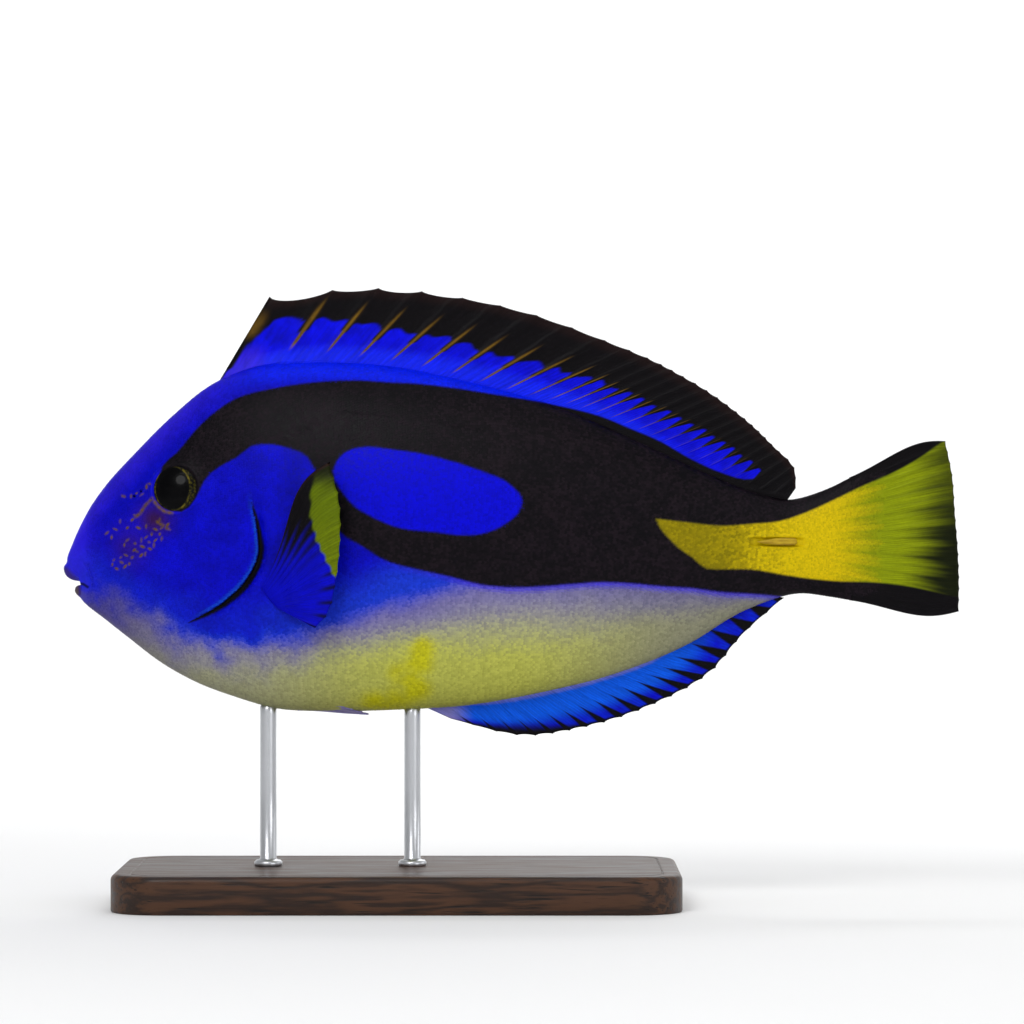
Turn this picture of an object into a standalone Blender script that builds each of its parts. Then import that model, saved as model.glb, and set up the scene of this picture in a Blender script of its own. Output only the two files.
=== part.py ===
# Regal blue tang, a life-size still model held by two rods on a flat display base.
# Run with: blender --background --python part.py
# The snout points along -X, the back along +Z and the left side along -Y. Units are metres, and MM turns
# a length written in millimetres into metres. The origin is on the floor, under the middle of the length.

import math

import bmesh
import bpy
import numpy as np
from mathutils import Vector
from mathutils.bvhtree import BVHTree

MM = 0.001
TOTAL_LENGTH = 240.0 * MM  # snout to the end of the tail fin
AXIS_HEIGHT = 96.0 * MM  # the body's long axis above the floor
GAP = 0.3 * MM  # clearance kept between neighbouring pieces
RING_POINTS = 32  # points round one body section
BODY_RINGS = 38  # sections from snout to tail base

# Each rib is a body section: where it meets the back line and the belly line (mm behind the snout tip and
# mm above the axis), half the body's width there (mm), and how pinched the section is towards its top.
RIBS = (
    ((1.4, -7.2), (1.4, -7.6), 0.0, 1.0),  # inside the mouth
    ((0.8, -4.4), (3.2, -11.4), 1.9, 1.0),  # lips
    ((2.4, 0.3), (5.7, -15.9), 3.5, 1.0),
    ((6.0, 8.0), (10.6, -19.5), 5.6, 1.0),  # snout
    ((11.4, 16.0), (17.6, -25.0), 7.9, 1.0),
    ((19.4, 24.8), (26.0, -31.4), 10.2, 1.02),  # in front of the eye
    ((29.0, 34.4), (35.6, -36.8), 12.3, 1.06),  # behind the eye
    ((39.4, 42.8), (45.6, -40.6), 14.2, 1.1),  # nape
    ((51.4, 47.9), (56.8, -43.8), 15.7, 1.14),  # gill cover
    ((69.0, 49.3), (71.6, -44.6), 16.7, 1.18),  # shoulder
    ((90.4, 47.8), (90.4, -44.2), 16.4, 1.2),  # deepest part of the belly
    ((111.8, 43.4), (109.0, -43.0), 14.9, 1.2),
    ((133.2, 37.2), (129.2, -39.4), 12.6, 1.16),
    ((154.6, 27.9), (149.2, -34.2), 10.0, 1.12),
    ((173.4, 19.0), (168.0, -26.4), 7.6, 1.06),
    ((185.4, 14.2), (182.8, -17.6), 5.9, 1.0),
    ((195.4, 12.3), (196.2, -13.2), 4.7, 0.95),  # narrowest part of the tail stalk
    ((205.4, 15.4), (205.4, -14.0), 3.8, 0.95),
    ((210.8, 18.4), (210.8, -15.2), 3.2, 0.95),  # tail base
)
BELLY_ROUNDNESS = 0.94  # the same shape power below the widest level, nearly elliptic
WIDEST_LEVEL = 0.52  # share of the depth, from the belly up, at which a section is widest

# Lines on the side of the body, in the same millimetres.
GILL_LINE = ((43.4, 56.0), (43.8, 45.6), (46.4, 34.0), (50.0, 18.0), (52.6, 4.6), (53.0, -2.2), (50.0, -8.8),
             (44.0, -14.8), (33.8, -20.8), (26.8, -26.4), (20.6, -34.0), (14.0, -44.0))
GILL_SLIT = ((51.3, 11.0), (52.6, 4.6), (53.0, -2.2), (50.0, -8.8), (44.0, -14.8), (33.8, -20.8))
SLIT_RADII = 0.25, 1.0  # mm, of the groove at its ends and half way along
STALK_CUT = ((180.0, 24.0), (183.0, 8.0), (184.0, -1.0), (183.0, -10.0), (180.0, -24.0))
FAR_FRONT, FAR_BACK, FAR_BELOW, FAR_ABOVE = -30.0, 270.0, -70.0, 80.0  # mm, past the fish on each side

# Each lip: its middle at the front, its corner, and its radius there (mm).
LIPS = {
    "upper_lip_roll": ((1.8, -6.3), (6.2, -9.4), 1.8),
    "lower_lip_roll": ((4.3, -12.1), (6.6, -11.0), 1.5),
}
LIP_CORNER_RADIUS = 0.45
MOUTH_GAP = ((-1.0, -8.9), (-1.0, -10.6), (3.8, -10.2), (6.8, -10.3), (3.8, -9.4))
MOUTH_HALF_WIDTH = 6.0 * MM

EYE_CENTRE = (30.8, 15.0)
EYE_RADIUS, EYE_DEPTH_RADIUS = 8.3 * MM, 5.0 * MM  # the flattened eyeball's, along and across the head
EYE_STANDS_OUT = 1.6 * MM
RIM_RADIUS, RIM_DEPTH_RADIUS = 10.6 * MM, 4.45 * MM  # of the swelling of the skin round the eye
NOSTRILS = (((19.6, 13.0), 0.65 * MM), ((21.6, 14.6), 0.5 * MM))
NOSTRIL_DEPTH = 1.3 * MM

# Each fin ray runs from a root point to a tip point (mm). The roots lie on the back or belly line.
DORSAL_SPINES = 9
DORSAL_SOFT_RAYS = 20
DORSAL_ROOT = ((42.4, 44.8), (58.6, 48.9), (68.8, 49.3), (86.4, 48.0), (103.4, 45.4), (118.8, 41.6),
               (141.8, 33.8), (160.0, 25.2), (176.0, 17.6), (186.0, 14.0), (194.4, 12.5))
DORSAL_TIP = ((55.3, 66.5), (72.3, 68.3), (84.4, 68.8), (107.1, 66.2), (126.7, 61.6), (145.2, 54.8),
              (167.6, 44.4), (182.2, 34.3), (190.9, 26.0), (196.0, 20.6), (196.3, 15.2))
DORSAL_AT = (0.0, 0.036, 0.071, 0.143, 0.214, 0.286, 0.48, 0.67, 0.84, 0.93, 1.0)  # share of the rays passed
DORSAL_NOTCHES = (0.078, 0.03, 0.035, 0.025)  # behind the first spines, as shares of their length
SOFT_NOTCH = 0.012

ANAL_SPINES = 3
ANAL_SOFT_RAYS = 18
ANAL_ROOT = ((98.0, -43.9), (112.0, -42.8), (126.0, -40.2), (144.0, -35.8), (160.0, -29.6), (174.5, -19.8),
             (187.0, -12.6))
ANAL_TIP = ((104.0, -46.6), (120.6, -50.9), (138.5, -49.2), (157.8, -43.0), (174.2, -33.6), (182.5, -23.7),
            (193.2, -14.2))
ANAL_AT = (0.0, 0.14, 0.33, 0.54, 0.74, 0.88, 1.0)

CAUDAL_RAYS = 16
CAUDAL_ROOT_X = RIBS[-1][0][0] + GAP / MM  # the tail fin's root plane, mm behind the snout
CAUDAL_TIP = ((236.4, 27.8), (238.2, 19.0), (239.0, 8.0), (239.8, -2.0), (240.1, -11.0), (240.0, -17.8))
CAUDAL_SWEEP = 0.9 * MM  # the rear edge bows this far to the left
CAUDAL_BULGE = 2.2 * MM  # the outermost rays bow this far outwards

PECTORAL_RAYS = 12
PECTORAL_ROOT = ((53.8, -11.8), (55.2, -13.6), (56.8, -15.4), (58.6, -17.0))
PECTORAL_TIP = ((72.3, 22.0), (74.9, 12.0), (75.1, 0.0), (73.8, -10.5), (71.6, -18.4), (68.4, -21.8))
PECTORAL_LIFT = 7.5 * MM  # how far the tips stand off the flank
PECTORAL_BOW = 1.6 * MM
PECTORAL_SWEEP = (-3.3 * MM, 1.8 * MM)  # how far forwards and up the leading ray curves

PELVIC_RAYS = 4
PELVIC_LENGTH = 20.0  # mm
PELVIC_ROOT = (62.5, -43.9)
PELVIC_TIP_LOWER = 1.5  # mm, how far the folded tip hangs below the root

MEMBRANE = 0.3 * MM  # half the thickness of a fin between its rays
THIN_MEMBRANE = 0.27 * MM

SCALPEL_TIP_X, SCALPEL_END_X, SCALPEL_HEIGHT = 185.6, 196.4, 0.8  # mm, in the fish's own measures
SCALPEL_UPPER, SCALPEL_LOWER = 1.15, 0.9  # mm, how far its edges curve away from that height
SCALPEL_DEPTH = 2.4 * MM
SCALPEL_STANDS_OUT = 0.1 * MM

BASE_LENGTH, BASE_WIDTH, BASE_THICKNESS = 150.0 * MM, 84.0 * MM, 10.0 * MM
BASE_CENTRE_X = -30.0 * MM
BASE_CORNER, BASE_EDGE = 14.0 * MM, 1.6 * MM
ROD_RADIUS = 2.2 * MM
ROD_XS = {"stand_rod_front": 55.0, "stand_rod_rear": 93.6}  # mm behind the snout

SOLVER = "MANIFOLD"  # the exact solver leaves three faces on an edge where small cutters meet the head

RAYS_RAISED = True  # each ray stands out of its membrane as a ridge

COLOURS = {  # Principled base colour, roughness and metallic value
    "blue_skin": ((0.0, 0.0, 0.55), 0.35, 0.0),
    "black_skin": ((0.01, 0.008, 0.012), 0.4, 0.0),
    "yellow_skin": ((0.38, 0.29, 0.001), 0.42, 0.0),
    "fin": ((0.0, 0.01, 0.42), 0.4, 0.0),
    "yellow_fin": ((0.15, 0.18, 0.002), 0.42, 0.0),
    "eye": ((0.005, 0.005, 0.005), 0.06, 0.0),
    "bone": ((0.6, 0.5, 0.12), 0.4, 0.0),
    "stand_wood": ((0.012, 0.011, 0.010), 0.35, 0.0),
    "stand_steel": ((0.6, 0.6, 0.6), 0.3, 1.0),
}
NODE_COLOURS = {  # by how a node's name starts
    "head": "blue_skin", "trunk": "black_skin", "tail_stalk": "yellow_skin", "caudal_fin": "yellow_fin",
    "dorsal": "fin", "anal": "fin", "pectoral": "fin", "pelvic": "fin", "eye": "eye", "scalpel": "bone",
    "stand_base": "stand_wood", "stand_rod": "stand_steel",
}


def place(x_mm, z_mm, y=0.0):
    """A point on the fish, given in mm behind the snout and mm above the axis, in world metres."""
    return Vector((x_mm * MM - TOTAL_LENGTH / 2, y, AXIS_HEIGHT + z_mm * MM))


def smooth_line(knots, at, knots_at=None):
    """A smooth curve through the knots, read at shares 0 to 1 of its length or of knots_at."""
    knots = np.asarray(knots, float).reshape(len(knots), -1)
    if knots_at is None:
        steps = np.linalg.norm(np.diff(knots[:, :2], axis=0), axis=1)
        knots_at = np.concatenate([[0.0], np.cumsum(steps)]) / steps.sum()
    s = np.asarray(knots_at, float)
    slope = np.gradient(knots, s, axis=0)
    at = np.clip(np.atleast_1d(np.asarray(at, float)), 0.0, 1.0)
    i = np.clip(np.searchsorted(s, at, side="right") - 1, 0, len(s) - 2)
    h = (s[i + 1] - s[i])[:, None]
    t = ((at - s[i]) / (s[i + 1] - s[i]))[:, None]
    return (
        (2 * t**3 - 3 * t**2 + 1) * knots[i]
        + (t**3 - 2 * t**2 + t) * h * slope[i]
        + (-2 * t**3 + 3 * t**2) * knots[i + 1]
        + (t**3 - t**2) * h * slope[i + 1]
    )


def new_object(name, mesh, collection):
    made = bpy.data.objects.new(name, mesh)
    collection.objects.link(made)
    return made


def object_from_faces(name, points, faces, collection):
    mesh = bpy.data.meshes.new(name)
    mesh.from_pydata([tuple(p) for p in points], [], faces)
    work = bmesh.new()
    work.from_mesh(mesh)
    bmesh.ops.recalc_face_normals(work, faces=work.faces)
    work.to_mesh(mesh)
    work.free()
    return new_object(name, mesh, collection)


def body_loft(name, collection, grow=0.0):
    """The whole body, a loft through the ribs, swollen by grow."""
    rows = [(*top, *bottom, half, power) for top, bottom, half, power in RIBS]
    middles = np.array([((r[0] + r[2]) / 2, (r[1] + r[3]) / 2) for r in rows])
    steps = np.linalg.norm(np.diff(middles, axis=0), axis=1)
    rib_at = np.concatenate([[0.0], np.cumsum(steps)]) / steps.sum()
    # sections crowd towards the snout, where the form turns fastest
    shares = np.linspace(0.0, 1.0, BODY_RINGS) ** 1.35
    sections = smooth_line(rows, shares, rib_at)
    points, faces = [], []
    angles = np.linspace(0.0, 2 * math.pi, RING_POINTS, endpoint=False)
    for k, (top_x, top_z, low_x, low_z, half, power) in enumerate(sections):
        if k == 0:
            points.append(place(top_x, (top_z + low_z) / 2))
            continue
        wide_x = low_x + (top_x - low_x) * WIDEST_LEVEL
        wide_z = low_z + (top_z - low_z) * WIDEST_LEVEL
        for angle in angles:
            up, side = math.sin(angle), math.cos(angle)
            end_x, end_z = (top_x, top_z) if up >= 0 else (low_x, low_z)
            shape = power if up >= 0 else BELLY_ROUNDNESS
            y = math.copysign(abs(side) ** shape, side) * max(half, 0.05) * MM
            points.append(place(wide_x + (end_x - wide_x) * abs(up), wide_z + (end_z - wide_z) * abs(up), y))

    def ring(k, j):
        return 1 + (k - 1) * RING_POINTS + j % RING_POINTS

    for j in range(RING_POINTS):
        faces.append((0, ring(1, j), ring(1, j + 1)))
    for k in range(1, BODY_RINGS - 1):
        for j in range(RING_POINTS):
            faces.append((ring(k, j), ring(k + 1, j), ring(k + 1, j + 1), ring(k, j + 1)))
    faces.append([ring(BODY_RINGS - 1, j) for j in range(RING_POINTS)])
    body = object_from_faces(name, points, faces, collection)
    if grow:
        swell(body, grow)
    return body


def swell(obj, by):
    """Moves every vertex out along its normal."""
    work = bmesh.new()
    work.from_mesh(obj.data)
    work.normal_update()
    for vert in work.verts:
        vert.co += vert.normal * by
    work.to_mesh(obj.data)
    work.free()


def side_finder(obj):
    """A function that gives the body's half width, in metres, at a point of its side."""
    tree = BVHTree.FromObject(obj, bpy.context.evaluated_depsgraph_get())

    def half_width(x_mm, z_mm):
        start = place(x_mm, z_mm, 0.08)
        hit = tree.ray_cast(start, Vector((0, -1, 0)))[0]
        return hit.y if hit else 0.0

    return half_width


def keep_largest(obj):
    """Applies the modifiers and keeps only the largest closed surface."""
    graph = bpy.context.evaluated_depsgraph_get()
    mesh = bpy.data.meshes.new_from_object(obj.evaluated_get(graph))
    obj.modifiers.clear()
    obj.data = mesh
    work = bmesh.new()
    work.from_mesh(mesh)
    bmesh.ops.remove_doubles(work, verts=work.verts, dist=1e-6)
    bmesh.ops.dissolve_degenerate(work, edges=work.edges, dist=1e-6)
    islands, seen = [], set()
    for face in work.faces:
        if face in seen:
            continue
        island, front = [], [face]
        seen.add(face)
        while front:
            now = front.pop()
            island.append(now)
            for edge in now.edges:
                for other in edge.link_faces:
                    if other not in seen:
                        seen.add(other)
                        front.append(other)
        islands.append(island)
    islands.sort(key=lambda island: -sum(face.calc_area() for face in island))
    scraps = [face for island in islands[1:] for face in island]
    if scraps:
        bmesh.ops.delete(work, geom=scraps, context="FACES")
        loose = [vert for vert in work.verts if not vert.link_faces]
        bmesh.ops.delete(work, geom=loose, context="VERTS")
    bmesh.ops.triangulate(work, faces=work.faces)
    work.to_mesh(mesh)
    work.free()


def boolean(obj, other, operation):
    modifier = obj.modifiers.new(operation.title(), "BOOLEAN")
    modifier.operation = operation
    modifier.object = other
    modifier.solver = SOLVER


def cut(obj, *cutters):
    for cutter in cutters:
        boolean(obj, cutter, "DIFFERENCE")
    keep_largest(obj)


def mesh_of(curve_object, collection):
    """The curve's solid as a mesh object with welded caps, in place of the curve."""
    graph = bpy.context.evaluated_depsgraph_get()
    mesh = bpy.data.meshes.new_from_object(curve_object.evaluated_get(graph))
    work = bmesh.new()
    work.from_mesh(mesh)
    bmesh.ops.remove_doubles(work, verts=work.verts, dist=1e-6)
    bmesh.ops.recalc_face_normals(work, faces=work.faces)
    work.to_mesh(mesh)
    work.free()
    name = curve_object.name
    matrix = curve_object.matrix_world.copy()
    bpy.data.objects.remove(curve_object)
    made = new_object(name, mesh, collection)
    made.matrix_world = matrix
    return made


def slab(name, outline, half_depth, collection):
    """A flat outline in the fish's mid plane (mm), extruded to both sides."""
    curve = bpy.data.curves.new(name, "CURVE")
    curve.dimensions = "2D"
    curve.fill_mode = "BOTH"
    curve.extrude = half_depth
    spline = curve.splines.new("POLY")
    spline.points.add(len(outline) - 1)
    for point, (x_mm, z_mm) in zip(spline.points, outline):
        spot = place(x_mm, z_mm)
        point.co = (spot.x, spot.z, 0.0, 1.0)
    spline.use_cyclic_u = True
    made = new_object(name, curve, collection)
    made.rotation_euler = (math.pi / 2, 0.0, 0.0)
    bpy.context.view_layer.update()
    return mesh_of(made, collection)


def tube(name, points, radii, collection, sides=2):
    """A round tube through world points, with its radius at each."""
    curve = bpy.data.curves.new(name, "CURVE")
    curve.dimensions = "3D"
    curve.bevel_depth = 1.0
    curve.bevel_resolution = sides
    curve.use_fill_caps = True
    spline = curve.splines.new("POLY")
    spline.points.add(len(points) - 1)
    for point, spot, radius in zip(spline.points, points, radii):
        point.co = (*spot, 1.0)
        point.radius = radius
    made = new_object(name, curve, collection)
    bpy.context.view_layer.update()
    return mesh_of(made, collection)


def egg(name, centre, outwards, radius, depth_radius, collection, segments=22, rings=10):
    """A flattened ball, its poles on the line through its centre that points outwards."""
    turn = outwards.to_track_quat("Z", "Y")
    work = bmesh.new()
    bmesh.ops.create_uvsphere(work, u_segments=segments, v_segments=rings, radius=1.0)
    for vert in work.verts:
        flattened = Vector((vert.co.x * radius, vert.co.y * radius, vert.co.z * depth_radius))
        vert.co = turn @ flattened + centre
    mesh = bpy.data.meshes.new(name)
    work.to_mesh(mesh)
    work.free()
    return new_object(name, mesh, collection)


def skin_direction(half_width, spot, side, step=4.0):
    """The way that the skin faces at a spot of the fish's side, read over step millimetres each way."""
    x, z = spot
    slope_x = (half_width(x + step, z) - half_width(x - step, z)) / (2 * step * MM)
    slope_z = (half_width(x, z + step) - half_width(x, z - step)) / (2 * step * MM)
    return Vector((-slope_x, side, -slope_z)).normalized()


def region(name, knots, behind, shift, collection):
    """A slab of all that lies behind, or before, a line on the fish's side moved back by shift."""
    line = [(x + shift, z) for x, z in smooth_line(knots, np.linspace(0.0, 1.0, 2 * len(knots)))]
    far = FAR_BACK if behind else FAR_FRONT
    outline = [*line, (line[-1][0], FAR_BELOW), (far, FAR_BELOW), (far, FAR_ABOVE), (line[0][0], FAR_ABOVE)]
    return slab(name, outline, 40.0 * MM, collection)


def lips(half_width, collection):
    """Two soft rolls that follow the small mouth, each from corner to corner round the snout."""
    made = []
    for name, ((front_x, front_z), (corner_x, corner_z), radius) in LIPS.items():
        points, radii = [], []
        for turn in np.linspace(-1.0, 1.0, 11):
            round_front = math.cos(turn * math.pi / 2)
            x_mm = corner_x + (front_x - corner_x) * round_front
            z_mm = corner_z + (front_z - corner_z) * round_front
            y = math.sin(turn * math.pi / 2) * (half_width(corner_x, corner_z) - 0.4 * MM)
            points.append(place(x_mm, z_mm, y))
            radii.append((LIP_CORNER_RADIUS + (radius - LIP_CORNER_RADIUS) * round_front**0.6) * MM)
        made.append(tube(name, points, radii, collection))
    return made


def slit_tubes(half_width, collection):
    """The open edge of each gill cover, a groove that is deepest half way along."""
    shares = np.linspace(0.0, 1.0, 13)
    line = smooth_line(GILL_SLIT, shares)
    swells = np.abs(np.sin((0.06 + 0.94 * shares) * math.pi)) ** 0.6
    least, most = SLIT_RADII
    made = []
    for side, name in ((-1, "left_slit"), (1, "right_slit")):
        points = [place(x + 0.35, z, side * (half_width(x, z) + 0.25 * MM)) for x, z in line]
        made.append(tube(name, points, [(least + (most - least) * s) * MM for s in swells], collection))
    return made


def fin_mesh(name, roots, tips, collection, *, thin, thick_root, ridge, notch, rows, fall, bow=None,
             root_shape=None, slim=0.55):
    """A fin: a membrane between its rays, and each ray a ridge that tapers to its tip.

    roots and tips are world points, one pair a ray. thin is the membrane's half thickness, and thick_root its
    half thickness at the root, which thins out over the share fall of a ray's length. ridge is how far a ray
    stands out of the membrane on each side, and slim the share of that lost by its tip. notch is how deep the
    edge dips between two tips, as a share of the ray's length. root_shape, where given, is the half thickness
    along the root, and bow moves a point sideways.
    """
    roots, tips = np.array(roots, float), np.array(tips, float)
    count = len(roots)
    ridge = np.broadcast_to(np.asarray(ridge, float), (count,))
    notch = np.broadcast_to(np.asarray(notch, float), (count,))
    columns = []
    between = (0.0, 0.26, 0.74) if RAYS_RAISED else (0.0,)
    for i in range(count):
        for part in between if i < count - 1 else (0.0,):
            j = min(i + 1, count - 1)
            own = 0.0 if part or not RAYS_RAISED else ridge[i]
            dip = notch[i] if part else 0.0
            root = roots[i] + (roots[j] - roots[i]) * part
            tip = tips[i] + (tips[j] - tips[i]) * part
            columns.append((root, root + (tip - root) * (1.0 - dip), own, (i + part) / (count - 1)))
    levels = np.linspace(0.0, 1.0, rows) ** 0.9
    centre = np.array([[root + (tip - root) * v for v in levels] for root, tip, _, _ in columns])
    if bow is not None:
        for c in range(len(columns)):
            for r, v in enumerate(levels):
                centre[c, r] += bow(columns[c][3], v)
    along = np.gradient(centre, axis=0)
    up = np.gradient(centre, axis=1)
    normal = np.cross(along, up)
    normal /= np.linalg.norm(normal, axis=2, keepdims=True)
    if normal[:, :, 1].mean() < 0:
        normal = -normal
    points = []
    for side in (1.0, -1.0):
        for c, (_, _, own, share) in enumerate(columns):
            root_half = thick_root if root_shape is None else root_shape(share)
            for r, v in enumerate(levels):
                half = thin + (root_half - thin) * max(0.0, 1.0 - v / fall) ** 1.6 * (root_half > thin)
                half += own * (1.0 - v * slim) * (1.0 if v > 0 else 0.0)
                points.append(centre[c, r] + normal[c, r] * side * half)
    wide, tall = len(columns), rows

    def at(s, c, r):
        return s * wide * tall + c * tall + r

    faces = []
    for c in range(wide - 1):
        for r in range(tall - 1):
            near = [(0, c, r), (0, c + 1, r), (0, c + 1, r + 1), (0, c, r + 1)]
            for a, b, d in ((0, 1, 2), (0, 2, 3)):
                faces.append([at(*near[k]) for k in (a, b, d)])
                faces.append([at(1, *near[k][1:]) for k in (d, b, a)])
    rim = [(c, 0) for c in range(wide)] + [(wide - 1, r) for r in range(1, tall)]
    rim += [(c, tall - 1) for c in range(wide - 2, -1, -1)] + [(0, r) for r in range(tall - 2, 0, -1)]
    for (c, r), (d, q) in zip(rim, rim[1:] + rim[:1]):
        faces.append([at(0, c, r), at(1, c, r), at(1, d, q)])
        faces.append([at(0, c, r), at(1, d, q), at(0, d, q)])
    return object_from_faces(name, points, faces, collection)


def sunk(root, tip, depth):
    """The root moved back along its ray, so that the body can trim it to its own surface."""
    direction = (tip - root).normalized()
    return root - direction * depth


def dorsal_fin(collection):
    count = DORSAL_SPINES + DORSAL_SOFT_RAYS
    shares = np.linspace(0.0, 1.0, count)
    roots = [place(x, z) for x, z in smooth_line(DORSAL_ROOT, shares, DORSAL_AT)]
    tips = [place(x, z) for x, z in smooth_line(DORSAL_TIP, shares, DORSAL_AT)]
    roots = [sunk(root, tip, 3.2 * MM) for root, tip in zip(roots, tips)]
    ridge = [0.62 * MM if i < DORSAL_SPINES else 0.38 * MM for i in range(count)]
    notch = [DORSAL_NOTCHES[i] if i < len(DORSAL_NOTCHES) else SOFT_NOTCH for i in range(count)]
    return fin_mesh("dorsal_fin", roots, tips, collection, thin=MEMBRANE, thick_root=1.7 * MM, ridge=ridge,
                    notch=notch, rows=5, fall=0.42)


def anal_fin(collection):
    count = ANAL_SPINES + ANAL_SOFT_RAYS
    shares = np.linspace(0.0, 1.0, count)
    roots = [place(x, z) for x, z in smooth_line(ANAL_ROOT, shares, ANAL_AT)]
    tips = [place(x, z) for x, z in smooth_line(ANAL_TIP, shares, ANAL_AT)]
    roots = [sunk(root, tip, 3.6 * MM) for root, tip in zip(roots, tips)]
    ridge = [0.5 * MM if i < ANAL_SPINES else 0.36 * MM for i in range(count)]
    return fin_mesh("anal_fin", roots, tips, collection, thin=MEMBRANE, thick_root=1.6 * MM, ridge=ridge,
                    notch=0.06, rows=5, fall=0.5)


def caudal_fin(collection):
    shares = np.linspace(0.0, 1.0, CAUDAL_RAYS)
    top, low, half = RIBS[-1][0][1], RIBS[-1][1][1], RIBS[-1][2] * MM
    heights = 0.99 - 0.98 * shares  # shares of the tail base's depth, just inside its ends
    roots = [place(CAUDAL_ROOT_X, low + (top - low) * height) for height in heights]
    tips = [place(x, z) for x, z in smooth_line(CAUDAL_TIP, shares)]

    def root_shape(share):
        height = 0.99 - 0.98 * share
        reach = 1.0 - WIDEST_LEVEL if height > WIDEST_LEVEL else WIDEST_LEVEL
        up = (height - WIDEST_LEVEL) / reach
        return max(MEMBRANE, half * math.sqrt(max(0.0, 1.0 - up * up)))

    def bow(share, v):
        outwards = CAUDAL_BULGE * (1.0 - 2.0 * share) ** 3 * math.sin(math.pi * v**1.6)
        return Vector((0.0, -CAUDAL_SWEEP * v * v * math.sin(math.pi * share), outwards))

    ridge = [(0.55 if i in (0, CAUDAL_RAYS - 1) else 0.36) * MM for i in range(CAUDAL_RAYS)]
    return fin_mesh("caudal_fin", roots, tips, collection, thin=MEMBRANE, thick_root=half, ridge=ridge,
                    notch=0.02, rows=7, fall=0.5, bow=bow, root_shape=root_shape)


def pectoral_fin(name, side, half_width, collection):
    """The fan behind the gill opening, raised and standing off the flank."""
    shares = np.linspace(0.0, 1.0, PECTORAL_RAYS)
    root_line = smooth_line(PECTORAL_ROOT, shares)
    tip_line = smooth_line(PECTORAL_TIP, shares)
    roots, tips = [], []
    for (rx, rz), (tx, tz) in zip(root_line, tip_line):
        root = place(rx, rz, half_width(rx, rz) - 0.6 * MM)
        tip = place(tx, tz, half_width(tx, tz) + PECTORAL_LIFT)
        roots.append(Vector((root.x, side * root.y, root.z)))
        tips.append(Vector((tip.x, side * tip.y, tip.z)))

    def bow(share, v):
        curve = (1.0 - share) ** 2 * math.sin(math.pi * v**2.2)
        forwards, up = PECTORAL_SWEEP
        return Vector((forwards * curve, side * PECTORAL_BOW * math.sin(math.pi * v), up * curve))

    ridge = [(0.5 if i == 0 else 0.34) * MM for i in range(PECTORAL_RAYS)]
    return fin_mesh(name, roots, tips, collection, thin=THIN_MEMBRANE, thick_root=0.9 * MM, ridge=ridge,
                    notch=0.035, rows=6, fall=0.3, bow=bow)


def pelvic_fin(name, side, collection):
    """A slim blade folded back against the belly, beside its fellow."""
    roots, tips = [], []
    root_x, root_z = PELVIC_ROOT
    for share in np.linspace(0.0, 1.0, PELVIC_RAYS):
        x_mm, z_mm = root_x + 3.0 * share, root_z + 2.2 * share
        out = side * (1.3 + 3.2 * share) * MM
        roots.append(place(x_mm, z_mm, out * 0.8))
        tips.append(place(x_mm + PELVIC_LENGTH * (1.0 - 0.5 * share), z_mm - PELVIC_TIP_LOWER, out))
    ridge = [(0.45 if i == 0 else 0.3) * MM for i in range(PELVIC_RAYS)]
    return fin_mesh(name, roots, tips, collection, thin=THIN_MEMBRANE, thick_root=0.7 * MM, ridge=ridge,
                    notch=0.04, rows=6, fall=0.3)


def scalpel(name, side, half_width, collection):
    """The folded blade on the tail stalk, its point forward."""
    length = SCALPEL_END_X - SCALPEL_TIP_X
    shares = np.linspace(0.0, 1.0, 9)
    swells = np.sin(shares * 2.2) ** 0.8
    xs = SCALPEL_TIP_X + length * shares
    outline = list(zip(xs, SCALPEL_HEIGHT + SCALPEL_UPPER * swells))
    outline += list(zip(xs, SCALPEL_HEIGHT - SCALPEL_LOWER * swells))[:0:-1]
    blade = slab(name, outline, SCALPEL_DEPTH / 2, collection)
    middle = side * (half_width(SCALPEL_TIP_X + length / 2, SCALPEL_HEIGHT) + SCALPEL_STANDS_OUT)
    widths = [half_width(x, SCALPEL_HEIGHT) for x in (SCALPEL_TIP_X, SCALPEL_END_X)]
    slope = (widths[1] - widths[0]) / (length * MM)
    centre_x = place(SCALPEL_TIP_X + length / 2, 0).x
    for vert in blade.data.vertices:
        spot = blade.matrix_world @ vert.co
        lean = side * slope * (spot.x - centre_x)
        vert.co = Vector((spot.x, spot.y + middle + lean, spot.z))
    blade.matrix_world.identity()
    bpy.context.view_layer.update()
    return blade


def base_plate(collection):
    work = bmesh.new()
    bmesh.ops.create_cube(work, size=1.0)
    bmesh.ops.scale(work, vec=(BASE_LENGTH, BASE_WIDTH, BASE_THICKNESS), verts=work.verts)
    bmesh.ops.translate(work, vec=(BASE_CENTRE_X, 0.0, BASE_THICKNESS / 2), verts=work.verts)
    upright = [e for e in work.edges if abs(e.verts[0].co.z - e.verts[1].co.z) > BASE_THICKNESS / 2]
    bmesh.ops.bevel(work, geom=upright, offset=BASE_CORNER, segments=7, profile=0.5, affect="EDGES")
    top = [e for e in work.edges if min(v.co.z for v in e.verts) > BASE_THICKNESS * 0.99]
    rim = [e for e in top if len({f.normal.z > 0.5 for f in e.link_faces}) == 2]
    bmesh.ops.bevel(work, geom=rim, offset=BASE_EDGE, segments=3, profile=0.5, affect="EDGES")
    mesh = bpy.data.meshes.new("stand_base")
    work.to_mesh(mesh)
    work.free()
    return new_object("stand_base", mesh, collection)


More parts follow.
